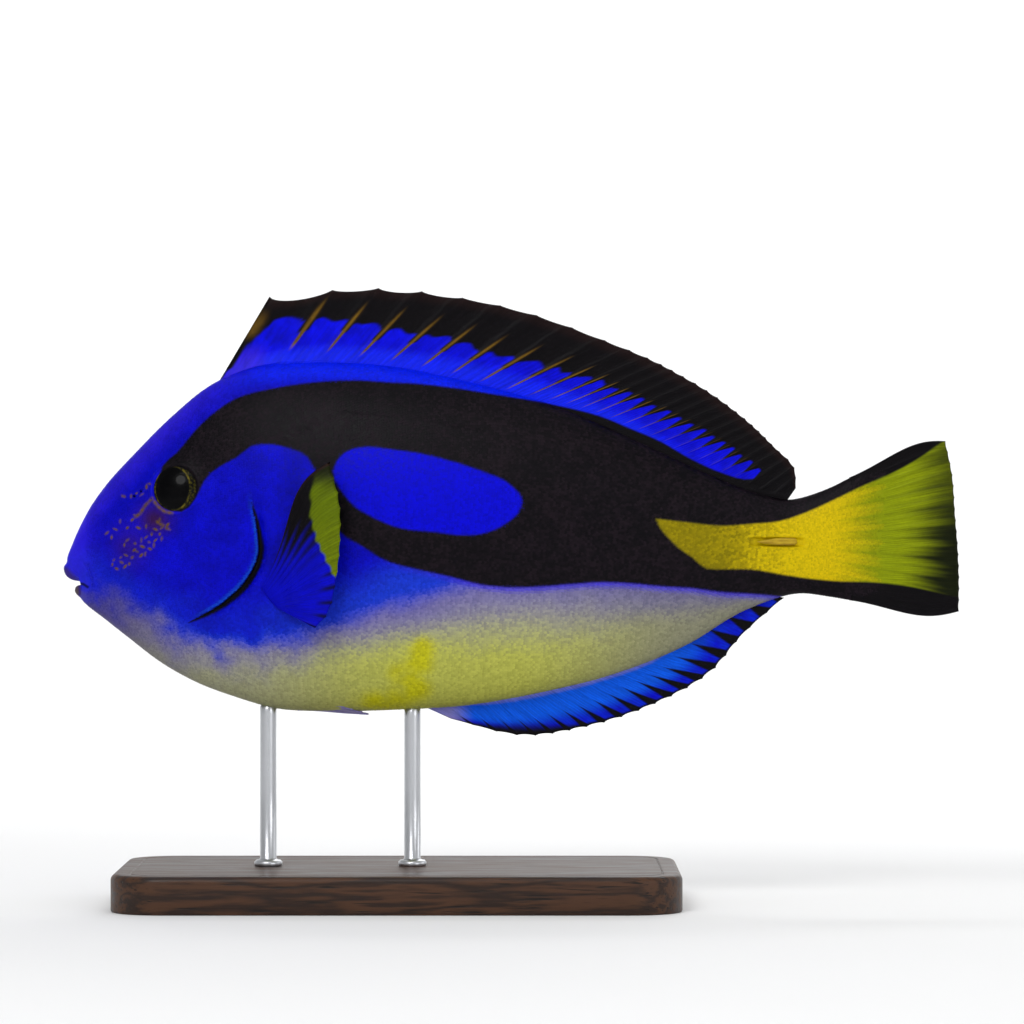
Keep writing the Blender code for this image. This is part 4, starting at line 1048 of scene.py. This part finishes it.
# Root and tip of each ray of a fin in the mid plane, the root moved back along the ray into the body.
def raysBetween(settings):
    count = len(settings["ridge"])
    roots = smoothLine(settings["root"], evenly(count), settings["at"])
    tips = smoothLine(settings["tip"], evenly(count), settings["at"])
    direction = tips - roots
    roots = roots - direction / np.linalg.norm(direction, axis=1, keepdims=True) * settings["sunk"]
    return [np.stack([ends[:, 0], np.zeros(count), ends[:, 1]], 1) for ends in (roots, tips)]


# Each point's place along and up in mm, its place between rays, how near the next one is, and its share of
# the way to the tips.
def finPlaces(fin, settings):
    x, _, z = toFish(vertexArray(fin.data))
    ray = readFloats(fin.data, "u") * (len(settings["ridge"]) - 1)
    part = ray - np.floor(ray + nudge)
    return x, z, ray, np.minimum(part, 1.0 - part), readFloats(fin.data, "v")


finLooks = {
    "cloud": 220.0,
    "ragged": 0.12,
    "linesPerGap": 5.0,
    "lineWander": 12.0,
    "lineShade": 0.05,
    "fibresPerGap": 7.0,
    "fibresUp": 2.6,
    "fibreShade": 1.1,
    "grain": 1500.0,
    "grainShade": 0.25,
    "roughness": 0.4,
    "grainRoughness": 0.12,
    "relief": 0.00005,
}


# A fin's finish: two base colours, a layer for each marking kept on it, and fine lines along its rays.
def finMaterial(name, base, layers, gaps):
    look = finLooks
    material, place = newMaterial(name)
    cloudy = place.noise(look["cloud"], 3.0)
    grain = place.noise(look["grain"])
    across, up = place.mark("u"), place.mark("v")
    lines = place.math("SINE", across * (gaps * look["linesPerGap"] * circle) + cloudy * look["lineWander"])
    spot = {0: across * (gaps * look["fibresPerGap"]), 1: up * look["fibresUp"], 2: 0.0}
    fibre = place.node("ShaderNodeCombineXYZ", {}, spot).noise(1.0, 4.0)
    colour = cloudy.step(0.3, 0.7).over(colours[base[0]], colours[base[1]])
    for marking, tint in layers:
        cover = (place.mark(marking) + (cloudy - 0.5) * look["ragged"]).step(0.04, 0.96)
        colour = cover.over(colour, colours[tint])
    shade = 1.0 + lines * look["lineShade"] + (grain - 0.5) * look["grainShade"]
    shade = shade + (fibre - 0.5) * look["fibreShade"]
    return closeMaterial(material, place, {
        "Base Color": colour.shaded(shade),
        "Roughness": look["roughness"] + grain * look["grainRoughness"],
        "Specular IOR Level": skinLooks["specular"],
    }, (lines * 0.3 + grain, look["relief"]))


# Writes a fin's markings, given as (name, colour, cover), colours it and puts it in its solid's place.
def finishFin(fin, node, settings, base, marks):
    for markName, _, cover in marks:
        writeFloats(fin.data, markName, cover)
    layers = [(markName, tint) for markName, tint, _ in marks]
    finish = node.replace("_fin", "_finish")
    fin.data.materials.append(finMaterial(finish, base, layers, len(settings["ridge"]) - 1))
    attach(fin, "root")
    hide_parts(node)


dorsal = {
    "perGap": 14, "rows": 60, "thin": 0.14, "rootHalf": 1.7, "fall": 0.42, "split": 0.16, "ruffle": 0.12,
    "sunk": 3.2, "fillet": 1.9, "ridge": (0.5,) * 9 + (0.24,) * 20,  # nine spines and the soft rays
    "notch": (0.078, 0.03, 0.035, 0.025) + (0.012,) * 25,
    "root": (
        (42.4, 44.8), (58.6, 48.9), (68.8, 49.3), (86.4, 48), (103.4, 45.4), (118.8, 41.6), (141.8, 33.8),
        (160, 25.2), (176, 17.6), (186, 14), (194.4, 12.5),
    ),
    "tip": (
        (55.3, 66.5), (72.3, 68.3), (84.4, 68.8), (107.1, 66.2), (126.7, 61.6), (145.2, 54.8), (167.6, 44.4),
        (182.2, 34.3), (190.9, 26), (196, 20.6), (196.3, 15.2),
    ),
    "at": (0.0, 0.036, 0.071, 0.143, 0.214, 0.286, 0.48, 0.67, 0.84, 0.93, 1.0),
    "blackEdge": (
        (45, 50.5), (51.7, 55.9), (57, 60.3), (63.5, 60.8), (74.2, 59.7), (87.6, 57.9), (95.6, 56.4),
        (103.7, 54.6), (111.7, 52.3), (119.7, 49.9), (127.8, 47.9), (135.8, 46), (143.8, 43.3), (151.9, 40),
        (159.9, 36.1), (167.9, 32.1), (176, 27.6), (184, 21.9), (188.8, 17.5), (197, 10),
    ),
}
dorsalFin = finPiece("dorsal_fin_rayed", *raysBetween(dorsal), dorsal)
x, z, ray, near, v = finPlaces(dorsalFin, dorsal)
above = z - np.interp(x, *np.array(dorsal["blackEdge"]).T)
soft = fade(8.0, 14.0, ray)
# black comes down along each spine as a finger, steep ahead of it and sloping behind
finger = (6.6 - 1.5 * soft) * np.clip(1.0 - near / (0.15 + 0.22 * soft), 0.0, 1.0) - 0.2 - 0.4 * soft
finger += 0.35 * np.sin(ray * 2.3) + 0.5 * np.sin(ray * 9.0) * (1.0 - soft)
black = fade(-0.7, 0.8, above + finger)
black = np.maximum(black, fade(0.3, 0.06, ray) * fade(0.3, 0.62, v))
toBody = outlineDistance(x, z, markings["black"], 260)
black = np.maximum(black, fade(0.4, -0.6, toBody) * fade(60.0, 90.0, x))
black = np.maximum(black, fade(186.5, 190.0, x + 0.8 * np.cos(circle * near)))
# the spines shine through the black, further down on the first ones, and fade towards the rear
reach = fade(-9.6, -6.0, above) * fade(1.0, 0.0, above / (9.0 - 6.0 * fade(5.0, 13.0, ray)))
bony = bell(near, 0.028 + 0.03 * fade(-8.0, 0.0, above)) * reach * (ray > 0.5)
bony *= (1.0 - 0.6 * fade(9.0, 20.0, ray)) * fade(26.0, 22.5, ray)
golden = fade(0.3, 0.1, ray) * fade(0.45, 0.65, v) * fade(0.98, 0.7, v)
finishFin(dorsalFin, "dorsal_fin", dorsal, ("finDeepBlue", "finBlue"), (
    ("skyBlue", "finSky", fade(0.42, 0.16, v) * fade(180.0, 150.0, x)),
    ("violet", "violet", fade(58.0, 50.0, x) * fade(0.6, 0.3, v) * 0.7),
    ("black", "finBlack", black),
    ("brown", "finBrown", black * fade(0.82, 1.0, v) * 0.8),
    ("golden", "spine", golden * 0.6),
    ("spine", "spine", bony),
))

anal = {
    "perGap": 12, "rows": 34, "thin": 0.14, "rootHalf": 1.6, "fall": 0.5, "split": 0.16, "ruffle": 0.1,
    "sunk": 3.6, "fillet": 1.5, "ridge": (0.4,) * 3 + (0.22,) * 18, "notch": 0.03,
    "root": (
        (98, -43.9), (112, -42.8), (126, -40.2), (144, -35.8), (160, -29.6), (174.5, -19.8), (187, -12.6),
    ),
    "tip": (
        (104, -46.6), (120.6, -50.9), (138.5, -49.2), (157.8, -43), (174.2, -33.6), (182.5, -23.7),
        (193.2, -14.2),
    ),
    "at": (0.0, 0.14, 0.33, 0.54, 0.74, 0.88, 1.0),
}
analFin = finPiece("anal_fin_rayed", *raysBetween(anal), anal)
x, z, _, near, v = finPlaces(analFin, anal)
rear = fade(120.0, 178.0, x)
reach = 0.56 - 0.28 * rear
streak = fade(0.0, 0.14, (v - reach) * (0.26 + 0.14 * rear) / (1.0 - reach) - near + 0.02)
black = np.maximum(fade(0.93 - 0.35 * bell(x - 121.0, 12.0), 1.0, v), streak)
toBody = outlineDistance(x, z, markings["black"], 260)
finishFin(analFin, "anal_fin", anal, ("analBlue", "finDeepBlue"), (
    ("cyan", "finCyan", fade(0.95, 0.5, v) * fade(182.0, 160.0, x)),
    ("lilac", "finLilac", np.maximum(fade(0.3, 0.2, v) * 0.5, 0.7 * fade(112.0, 103.0, x))),
    ("black", "finBlack", np.maximum(black, fade(0.4, -1.2, toBody) * (x > 150.0))),
))

caudal = {
    "perGap": 14, "rows": 60, "thin": 0.13, "rootHalf": 3.2, "fall": 0.5, "split": 0.2, "ruffle": 0.06,
    "ridge": (0.42, *(0.24,) * 14, 0.42), "notch": 0.007,
    "rootX": 210.6, "top": 18.4, "low": -15.2, "half": 3.1, "sweep": 0.9, "bulge": 2.2,
    "tip": ((236.4, 27.8), (238.2, 19.0), (239.0, 8.0), (239.8, -2.0), (240.1, -11.0), (240.0, -17.8)),
}


# Share of the tail base's height for a share of the way over its rays, which end just inside it.
def caudalHeight(u):
    return 0.99 - 0.98 * u


def caudalRoot(u):
    height, level = caudalHeight(u), fish["widestLevel"]
    up = (height - level) / np.where(height > level, 1.0 - level, level)
    return np.maximum(0.2, caudal["half"] * np.sqrt(np.clip(1.0 - up * up, 0.0, 1.0)))


def caudalBend(u, v):
    outwards = caudal["bulge"] * (1.0 - 2.0 * u) ** 3 * np.sin(math.pi * v**1.6)
    sideways = -caudal["sweep"] * v * v * np.sin(math.pi * u)
    return np.stack([np.zeros(u.shape), sideways, outwards], axis=1)


caudal["rootShape"] = caudalRoot
caudalShares = evenly(len(caudal["ridge"]))
flat = np.zeros(len(caudalShares))
tipX, tipZ = smoothLine(caudal["tip"], caudalShares).T
rootZ = caudal["low"] + (caudal["top"] - caudal["low"]) * caudalHeight(caudalShares)
roots, tips = np.stack([flat + caudal["rootX"], flat, rootZ], 1), np.stack([tipX, flat, tipZ], 1)
caudalFin = finPiece("caudal_fin_rayed", roots, tips, caudal, caudalBend)
x, z, *_ = finPlaces(caudalFin, caudal)
lime, dark = tailStreaks(x, z)
finishFin(caudalFin, "caudal_fin", caudal, ("yellow", "yellow"), (
    ("lime", "lime", lime),
    ("dark", "tailDark", dark),
    ("black", "finBlack", fade(-0.6, 0.6, outlineDistance(x, z, markings["wedge"], 160))),
))

pectoral = {
    "perGap": 12, "rows": 56, "thin": 0.12, "rootHalf": 0.9, "fall": 0.3, "split": 0.17, "ruffle": 0.08,
    "ridge": (0.42,) + (0.22,) * 11, "notch": 0.012,
    "inside": 0.6, "lift": 7.5, "bow": 1.6, "sweep": (-3.3, 1.8),
    "root": ((53.8, -11.8), (55.2, -13.6), (56.8, -15.4), (58.6, -17.0)),
    "tip": ((72.3, 22.0), (74.9, 12.0), (75.1, 0.0), (73.8, -10.5), (71.6, -18.4), (68.4, -21.8)),
    "oliveEdge": (
        (69, 24), (67.2, 15.8), (67, 7.5), (68.6, 1.3), (70.4, -2.4), (72.6, -6.8), (75.5, -12),
    ),
}
pectoralShares = evenly(len(pectoral["ridge"]))
rootX, rootZ = smoothLine(pectoral["root"], pectoralShares).T
tipX, tipZ = smoothLine(pectoral["tip"], pectoralShares).T
rootWidth = sideWidth(rootX, rootZ) - pectoral["inside"]
tipWidth = sideWidth(tipX, tipZ) + pectoral["lift"]
oliveX, oliveZ = np.array(pectoral["oliveEdge"])[::-1].T
for side, name in ((-1, "left"), (1, "right")):
    def pectoralBend(u, v, side=side):
        curve = (1.0 - u) ** 2 * np.sin(math.pi * v**2.2)
        forwards, up = pectoral["sweep"]
        return np.stack([forwards * curve, side * pectoral["bow"] * np.sin(math.pi * v), up * curve], axis=1)

    roots, tips = np.stack([rootX, side * rootWidth, rootZ], 1), np.stack([tipX, side * tipWidth, tipZ], 1)
    pectoralFin = finPiece(f"pectoral_rayed_{name}", roots, tips, pectoral, pectoralBend)
    x, z, ray, near, v = finPlaces(pectoralFin, pectoral)
    into = x - np.interp(z, oliveZ, oliveX) + 0.25 * np.cos(circle * near)
    olive = fade(-0.6, 1.0, into) * fade(-11.0, -8.0, z)
    shadow = fade(-11.0, 7.0, z + 2.6 * np.cos(circle * near) - 0.35 * (x - 62.0))
    blackTips = bell(near, 0.2) * fade(0.62, 0.95, v) * 0.8
    finishFin(pectoralFin, f"pectoral_fin_{name}", pectoral, ("finDeepBlue", "blue"), (
        ("black", "finBlack", np.maximum(shadow, blackTips)),
        ("olive", "finOlive", olive * (1.0 - 0.8 * fade(12.0, 20.0, z))),
        ("lime", "lime", olive * 0.25 * fade(10.0, 4.0, z)),
        ("brown", "finBrown", fade(0.25, 0.08, ray) * fade(0.1, 0.3, v)),
        ("spine", "spine", 0.35 * fade(0.07, 0.0, np.abs(ray - 0.05)) * v),
    ))

pelvic = {
    "perGap": 12, "rows": 40, "thin": 0.13, "rootHalf": 0.7, "fall": 0.3, "rayWidth": 0.12, "split": 0.14,
    "ridge": (0.4, 0.22, 0.22, 0.22), "notch": 0.04,
    "length": 20.0, "shorter": 0.5, "root": (62.5, -43.9), "spread": (3.0, 2.2), "out": (1.3, 3.2),
    "rootIn": 0.8, "tipLower": 1.5,
}
pelvicShares = evenly(len(pelvic["ridge"]))
rootX, rootZ = (start + wide * pelvicShares for start, wide in zip(pelvic["root"], pelvic["spread"]))
tipX = rootX + pelvic["length"] * (1.0 - pelvic["shorter"] * pelvicShares)
for side, name in ((-1, "left"), (1, "right")):
    out = side * (pelvic["out"][0] + pelvic["out"][1] * pelvicShares)
    roots = np.stack([rootX, out * pelvic["rootIn"], rootZ], 1)
    tips = np.stack([tipX, out, rootZ - pelvic["tipLower"]], 1)
    pelvicFin = finPiece(f"pelvic_rayed_{name}", roots, tips, pelvic)
    _, _, ray, _, v = finPlaces(pelvicFin, pelvic)
    finishFin(pelvicFin, f"pelvic_fin_{name}", pelvic, ("finLilac", "paleLilac"), (
        ("blue", "lilac", fade(0.75, 1.0, v) * 0.5),
        ("black", "finBrown", fade(0.3, 0.1, ray) * 0.4 * fade(0.5, 0.8, v)),
    ))
print("fins ready")


# Eyes, each a flattened ball with its pupil and rings, under a faint glossy coat

eyeLooks = {
    "segments": 128,
    "rings": 96,
    "pupil": (-0.7, 0.1),  # its middle, along and up from the ball's own
    "pupilSize": (9.0, 11.2),
    "irisRadius": 5.9,
    "roughness": 0.28,
    "coat": 0.07,
    "coatRoughness": 0.03,
    "specular": 0.03,
    "relief": -0.00012,
}


def eyeMaterial(name):
    look = eyeLooks
    material, place = newMaterial(f"eye_finish_{name}")
    spot = place.mark("eyePlace", 1)
    along, up = (spot.node("ShaderNodeSeparateXYZ", {}, {0: spot}, k) for k in (0, 1))
    dx = (along - look["pupil"][0]) / (look["pupilSize"][0] / 2)
    dz = (up - look["pupil"][1]) / (look["pupilSize"][1] / 2)
    away = place.math("SQRT", dx * dx + dz * dz)
    fromMiddle = place.math("SQRT", along * along + up * up)
    fibre = spot.noise(1.6, 4.0)
    gold = away.step(1.0, 1.05) * (1.0 - away.step(1.06, 1.16)) * spot.noise(0.55).step(0.4, 0.7)
    colour = layered(
        fibre.step(0.42, 0.66).over(colours["iris"], colours["irisFleck"]),
        (gold * 0.8, "pupilRing"),
        (1.0 - away.step(0.97, 1.03), "pupil"),
        (fromMiddle.step(look["irisRadius"] - 0.4, look["irisRadius"] + 0.1), "eyeRim"),
    )
    return closeMaterial(material, place, {
        "Base Color": colour,
        "Roughness": look["roughness"],
        "Coat Weight": look["coat"],
        "Coat Roughness": look["coatRoughness"],
        "Specular IOR Level": look["specular"],
    }, (1.0 - away.step(0.94, 1.06) + fibre * 0.5, look["relief"]))


for side, name in ((-1, "left"), (1, "right")):
    surface, outwards = eyeFrame(side)
    centre = surface + outwards * (eye["standsOut"] - eye["depthRadius"])
    turn = Vector(outwards).to_track_quat("Z", "Y")
    radii = Vector((eye["radius"], eye["radius"], eye["depthRadius"]))
    work = bmesh.new()
    bmesh.ops.create_uvsphere(work, u_segments=eyeLooks["segments"], v_segments=eyeLooks["rings"], radius=1.0)
    for vert in work.verts:
        vert.co = Vector(toWorld(*(turn @ (vert.co * radii) + Vector(centre))))
    eyeball = finishObject(work, f"eyeball_{name}")
    x, y, z = toFish(vertexArray(eyeball.data))
    writeVectors(eyeball.data, "eyePlace", np.stack([x - eye["centre"][0], z - eye["centre"][1], y * 0.0], 1))
    eyeball.data.materials.append(eyeMaterial(name))
    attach(eyeball, "root")
    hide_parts(f"eye_{name}")
print("eyes ready")


# Blades of the tail stalk

bladeLooks = {
    "from": 185.6, "to": 196.4, "level": 0.8, "upper": 1.15, "lower": 0.9, "depth": 2.4, "standsOut": 0.1,
    "columns": 60, "around": 32,
}


# Puts a blade's grid in place; u runs from its point to its root, and v round its section.
def bladePlace(side):
    look = bladeLooks
    length = look["to"] - look["from"]
    stations = look["from"] + length * np.array([0.0, 0.5, 1.0])
    front, middle, rear = sideWidth(stations, np.full(3, look["level"]))

    def place(u, v, sheet):
        share = 0.004 + 0.992 * u
        swell = np.sin(share * 2.2) ** 0.8 * np.clip((1.0 - share) / 0.05, 0.0, 1.0) ** 0.5
        up, out = np.sin(v * circle), np.cos(v * circle)
        tall = np.where(up >= 0, look["upper"], look["lower"]) * swell
        thick = look["depth"] / 2 * (0.35 + 0.65 * np.minimum(swell * 1.4, 1.0))
        lean = (rear - front) * (share - 0.5)
        y = side * (middle + look["standsOut"] + lean) + side * out * np.abs(out) ** -0.3 * thick
        return toWorld(look["from"] + length * share, y, look["level"] + tall * up)

    return place


material, place = newMaterial("blade_finish")
streaks = place.stretched((0.3, 1.0, 1.6)).noise(900.0, 3.0)
bladeFinish = closeMaterial(material, place, {
    "Base Color": streaks.step(0.3, 0.75).over(colours["blade"], colours["bladeStreak"]),
    "Roughness": 0.32 + streaks * 0.15,
    "Specular IOR Level": 0.25,
}, (streaks, 0.00004))
for side, name in ((-1, "left"), (1, "right")):
    work = sheetMesh(bladeLooks["columns"], bladeLooks["around"], 1, bladePlace(side))
    blade = finishObject(work, f"blade_{name}")
    blade.data.materials.append(bladeFinish)
    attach(blade, "root")
    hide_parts(f"scalpel_{name}")


# Stand

stand = {
    "size": (150.0, 84.0, 10.0), "centreX": -30.0, "corner": 14.0, "edge": 1.6, "lowEdge": 0.5,
    "grooveInset": 3.2, "grooveSide": 0.35, "grooveDepth": 0.3,
    "rodRadius": 2.2, "rods": {"front": 55.0, "rear": 93.6}, "collar": (3.6, 1.6), "intoBelly": 0.5,
}


def boardPiece():
    length, width, thick = (value * mm for value in stand["size"])
    work = bmesh.new()
    bmesh.ops.create_cube(work, size=1.0)
    bmesh.ops.scale(work, vec=(length, width, thick), verts=work.verts)
    bmesh.ops.translate(work, vec=(stand["centreX"] * mm, 0.0, thick / 2), verts=work.verts)

    def largestFace(direction):
        return max((f for f in work.faces if f.normal.z * direction > 0.9), key=lambda f: f.calc_area())

    def rounded(edges, radius, segments):
        bmesh.ops.bevel(work, geom=edges, offset=radius * mm, segments=segments, profile=0.5, affect="EDGES",
                        material=-1)

    upright = [e for e in work.edges if abs(e.verts[0].co.z - e.verts[1].co.z) > thick / 2]
    rounded(upright, stand["corner"], 20)
    rounded(list(largestFace(1).edges), stand["edge"], 6)
    side, deep = stand["grooveSide"], stand["grooveDepth"]
    for inset, depth in ((stand["grooveInset"], 0.0), (side, -deep), (side, deep)):
        bmesh.ops.inset_region(work, faces=[largestFace(1)], thickness=inset * mm, depth=depth * mm)
    rounded(list(largestFace(-1).edges), stand["lowEdge"], 2)
    made = finishObject(work, "base_board")
    made.data.set_sharp_from_angle(angle=math.radians(35))
    return made


# Wood whose grain runs along the board, wavy and with open pores.
def boardMaterial():
    material, place = newMaterial("board_finish")
    wander = place.stretched((0.35, 1.0, 1.0)).noise(14.0, 3.0)
    across = place.stretched((0.09, 1.0, 1.0)).noise(260.0, 5.0)
    pore = place.stretched((0.05, 1.0, 1.0)).noise(1400.0)
    grain = place.math("SINE", across * 26.0 + wander * 18.0) * 0.5 + 0.5
    colour = grain.over(colours["wood"], colours["woodGrain"])
    return closeMaterial(material, place, {
        "Base Color": pore.step(0.6, 0.72).over(colour, colours["woodPore"]),
        "Roughness": 0.4 + grain * 0.12,
        "Specular IOR Level": 0.25,
        "Coat Weight": 0.08,
        "Coat Roughness": 0.2,
    }, (grain * 0.5 - pore.step(0.58, 0.74), 0.00006))


# A rod from the base into the belly, with a turned collar at its foot, drawn as rings of one section.
def rodPiece(name, x):
    bellyX, _, bellyZ = bodyPoint(evenly(400), np.full(400, -math.pi / 2))
    high = np.interp(x, bellyX, bellyZ) + fish["axisHeight"] + stand["intoBelly"]
    low = stand["size"][2] + 0.02
    radius = stand["rodRadius"]
    wide, tall = stand["collar"]
    section = np.array((
        (0.0, low), (wide, low), (wide + 0.15, low + 0.25), (wide + 0.15, low + tall - 0.5),
        (wide - 0.3, low + tall), (radius + 0.35, low + tall + 0.1), (radius, low + tall + 0.5),
        (radius, high - 4.0), (radius, high - 0.4), (radius - 0.3, high), (0.0, high),
    ))

    def place(u, v, sheet):
        first, part = rowBefore(u * (len(section) - 1), len(section))
        out, height = between(section, first, part[:, None]).T
        turn = v * circle
        spot = (x - fish["length"] / 2 + out * np.cos(turn), out * np.sin(turn), height)
        return np.stack(spot, axis=1) * mm

    made = finishObject(sheetMesh((len(section) - 1) * 2, 64, 1, place), name)
    made.data.set_sharp_from_angle(angle=math.radians(50))
    return made


def rodMaterial():
    material, place = newMaterial("rod_finish")
    brushed = place.stretched((1.0, 1.0, 0.05)).noise(2600.0)
    return closeMaterial(material, place, {
        "Base Color": colours["steel"],
        "Metallic": 1.0,
        "Roughness": 0.2 + brushed * 0.14 + place.noise(90.0) * 0.08,
    }, (brushed, 0.00002))


board = boardPiece()
board.data.materials.append(boardMaterial())
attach(board, "root")
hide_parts("stand_base")
rodFinish = rodMaterial()
for name, x in stand["rods"].items():
    rod = rodPiece(f"rod_{name}", x)
    rod.data.materials.append(rodFinish)
    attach(rod, "root")
    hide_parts(f"stand_rod_{name}")
print("stand ready")


# Floor, lights and camera

stageSettings = {"radius": 2.2, "curve": 0.5, "height": 0.8}  # in metres


# A round floor that curves up into a low wall; v runs out from the middle and up.
def bowlPlace(u, v, sheet):
    curve = stageSettings["curve"]
    flat = stageSettings["radius"] - curve
    bendLength = math.pi / 2 * curve
    s = v * (flat + bendLength + stageSettings["height"] - curve)
    bent = np.clip(s - flat, 0.0, bendLength) / curve
    out = np.minimum(s, flat) + curve * np.sin(bent)
    z = curve * (1.0 - np.cos(bent)) + np.maximum(s - flat - bendLength, 0.0)
    turn = u * circle
    return np.stack([out * np.cos(turn), out * np.sin(turn), z], axis=1)


sweep = finishObject(sheetMesh(96, 60, 1, bowlPlace), "floor_bowl")
material, place = newMaterial("sweep_finish")
sweep.data.materials.append(closeMaterial(material, place, {
    "Base Color": place.noise(3.0).step(0.2, 0.8).over((0.86, 0.86, 0.86, 1.0), (0.88, 0.88, 0.88, 1.0)),
    "Roughness": 0.8,
    "Specular IOR Level": 0.1,
}))

# each lamp's name, place, aim, diameter in metres and power in watts
lights = (
    ("key", (-0.4, -0.95, 0.85), (0.0, 0.0, 0.10), 0.5, 5.6),
    ("fill", (0.8, -0.9, 0.35), (0.0, 0.0, 0.10), 0.6, 2.0),
    ("top", (0.0, 0.1, 1.05), (0.0, 0.0, 0.10), 0.9, 1.6),
    ("behind", (0.3, 0.9, 0.7), (0.0, 0.0, 0.12), 0.7, 2.6),
    ("tail", (1.2, 0.15, 0.45), (0.0, 0.0, 0.10), 0.6, 1.4),
    ("wall", (0.0, 1.0, 1.5), (0.0, 2.2, 0.3), 1.2, 20.0),
    ("wallAhead", (0.0, -1.0, 1.5), (0.0, -2.2, 0.3), 1.2, 9.0),
)
for name, spot, aim, size, power in lights:
    lamp = bpy.data.lights.new(name, "AREA")
    lamp.shape = "DISK"
    lamp.size = size
    lamp.energy = power
    holder = bpy.data.objects.new(name, lamp)
    holder.location = spot
    holder.rotation_euler = (Vector(aim) - Vector(spot)).to_track_quat("-Z", "Y").to_euler()
    scene.collection.objects.link(holder)

world = bpy.data.worlds.new("studio")
world.use_nodes = True
background = world.node_tree.nodes["Background"].inputs
background["Color"].default_value = (0.98, 0.99, 1.0, 1.0)
background["Strength"].default_value = 0.42
scene.world = world
scene.view_settings.view_transform = "Standard"

# in metres, and the sensor's width in millimetres
view = {"distance": 1.35, "frameWidth": 0.2743, "centre": (0.00027, 0.0, 0.1048), "sensor": 36.0}
lens = bpy.data.cameras.new("camera")
lens.sensor_width = view["sensor"]
lens.lens = view["sensor"] * view["distance"] / view["frameWidth"]
camera = bpy.data.objects.new("camera", lens)
camera.location = Vector(view["centre"]) + Vector((0.0, -view["distance"], 0.0))
camera.rotation_euler = (math.pi / 2, 0.0, 0.0)
scene.collection.objects.link(camera)
scene.camera = camera
print("camera ready")
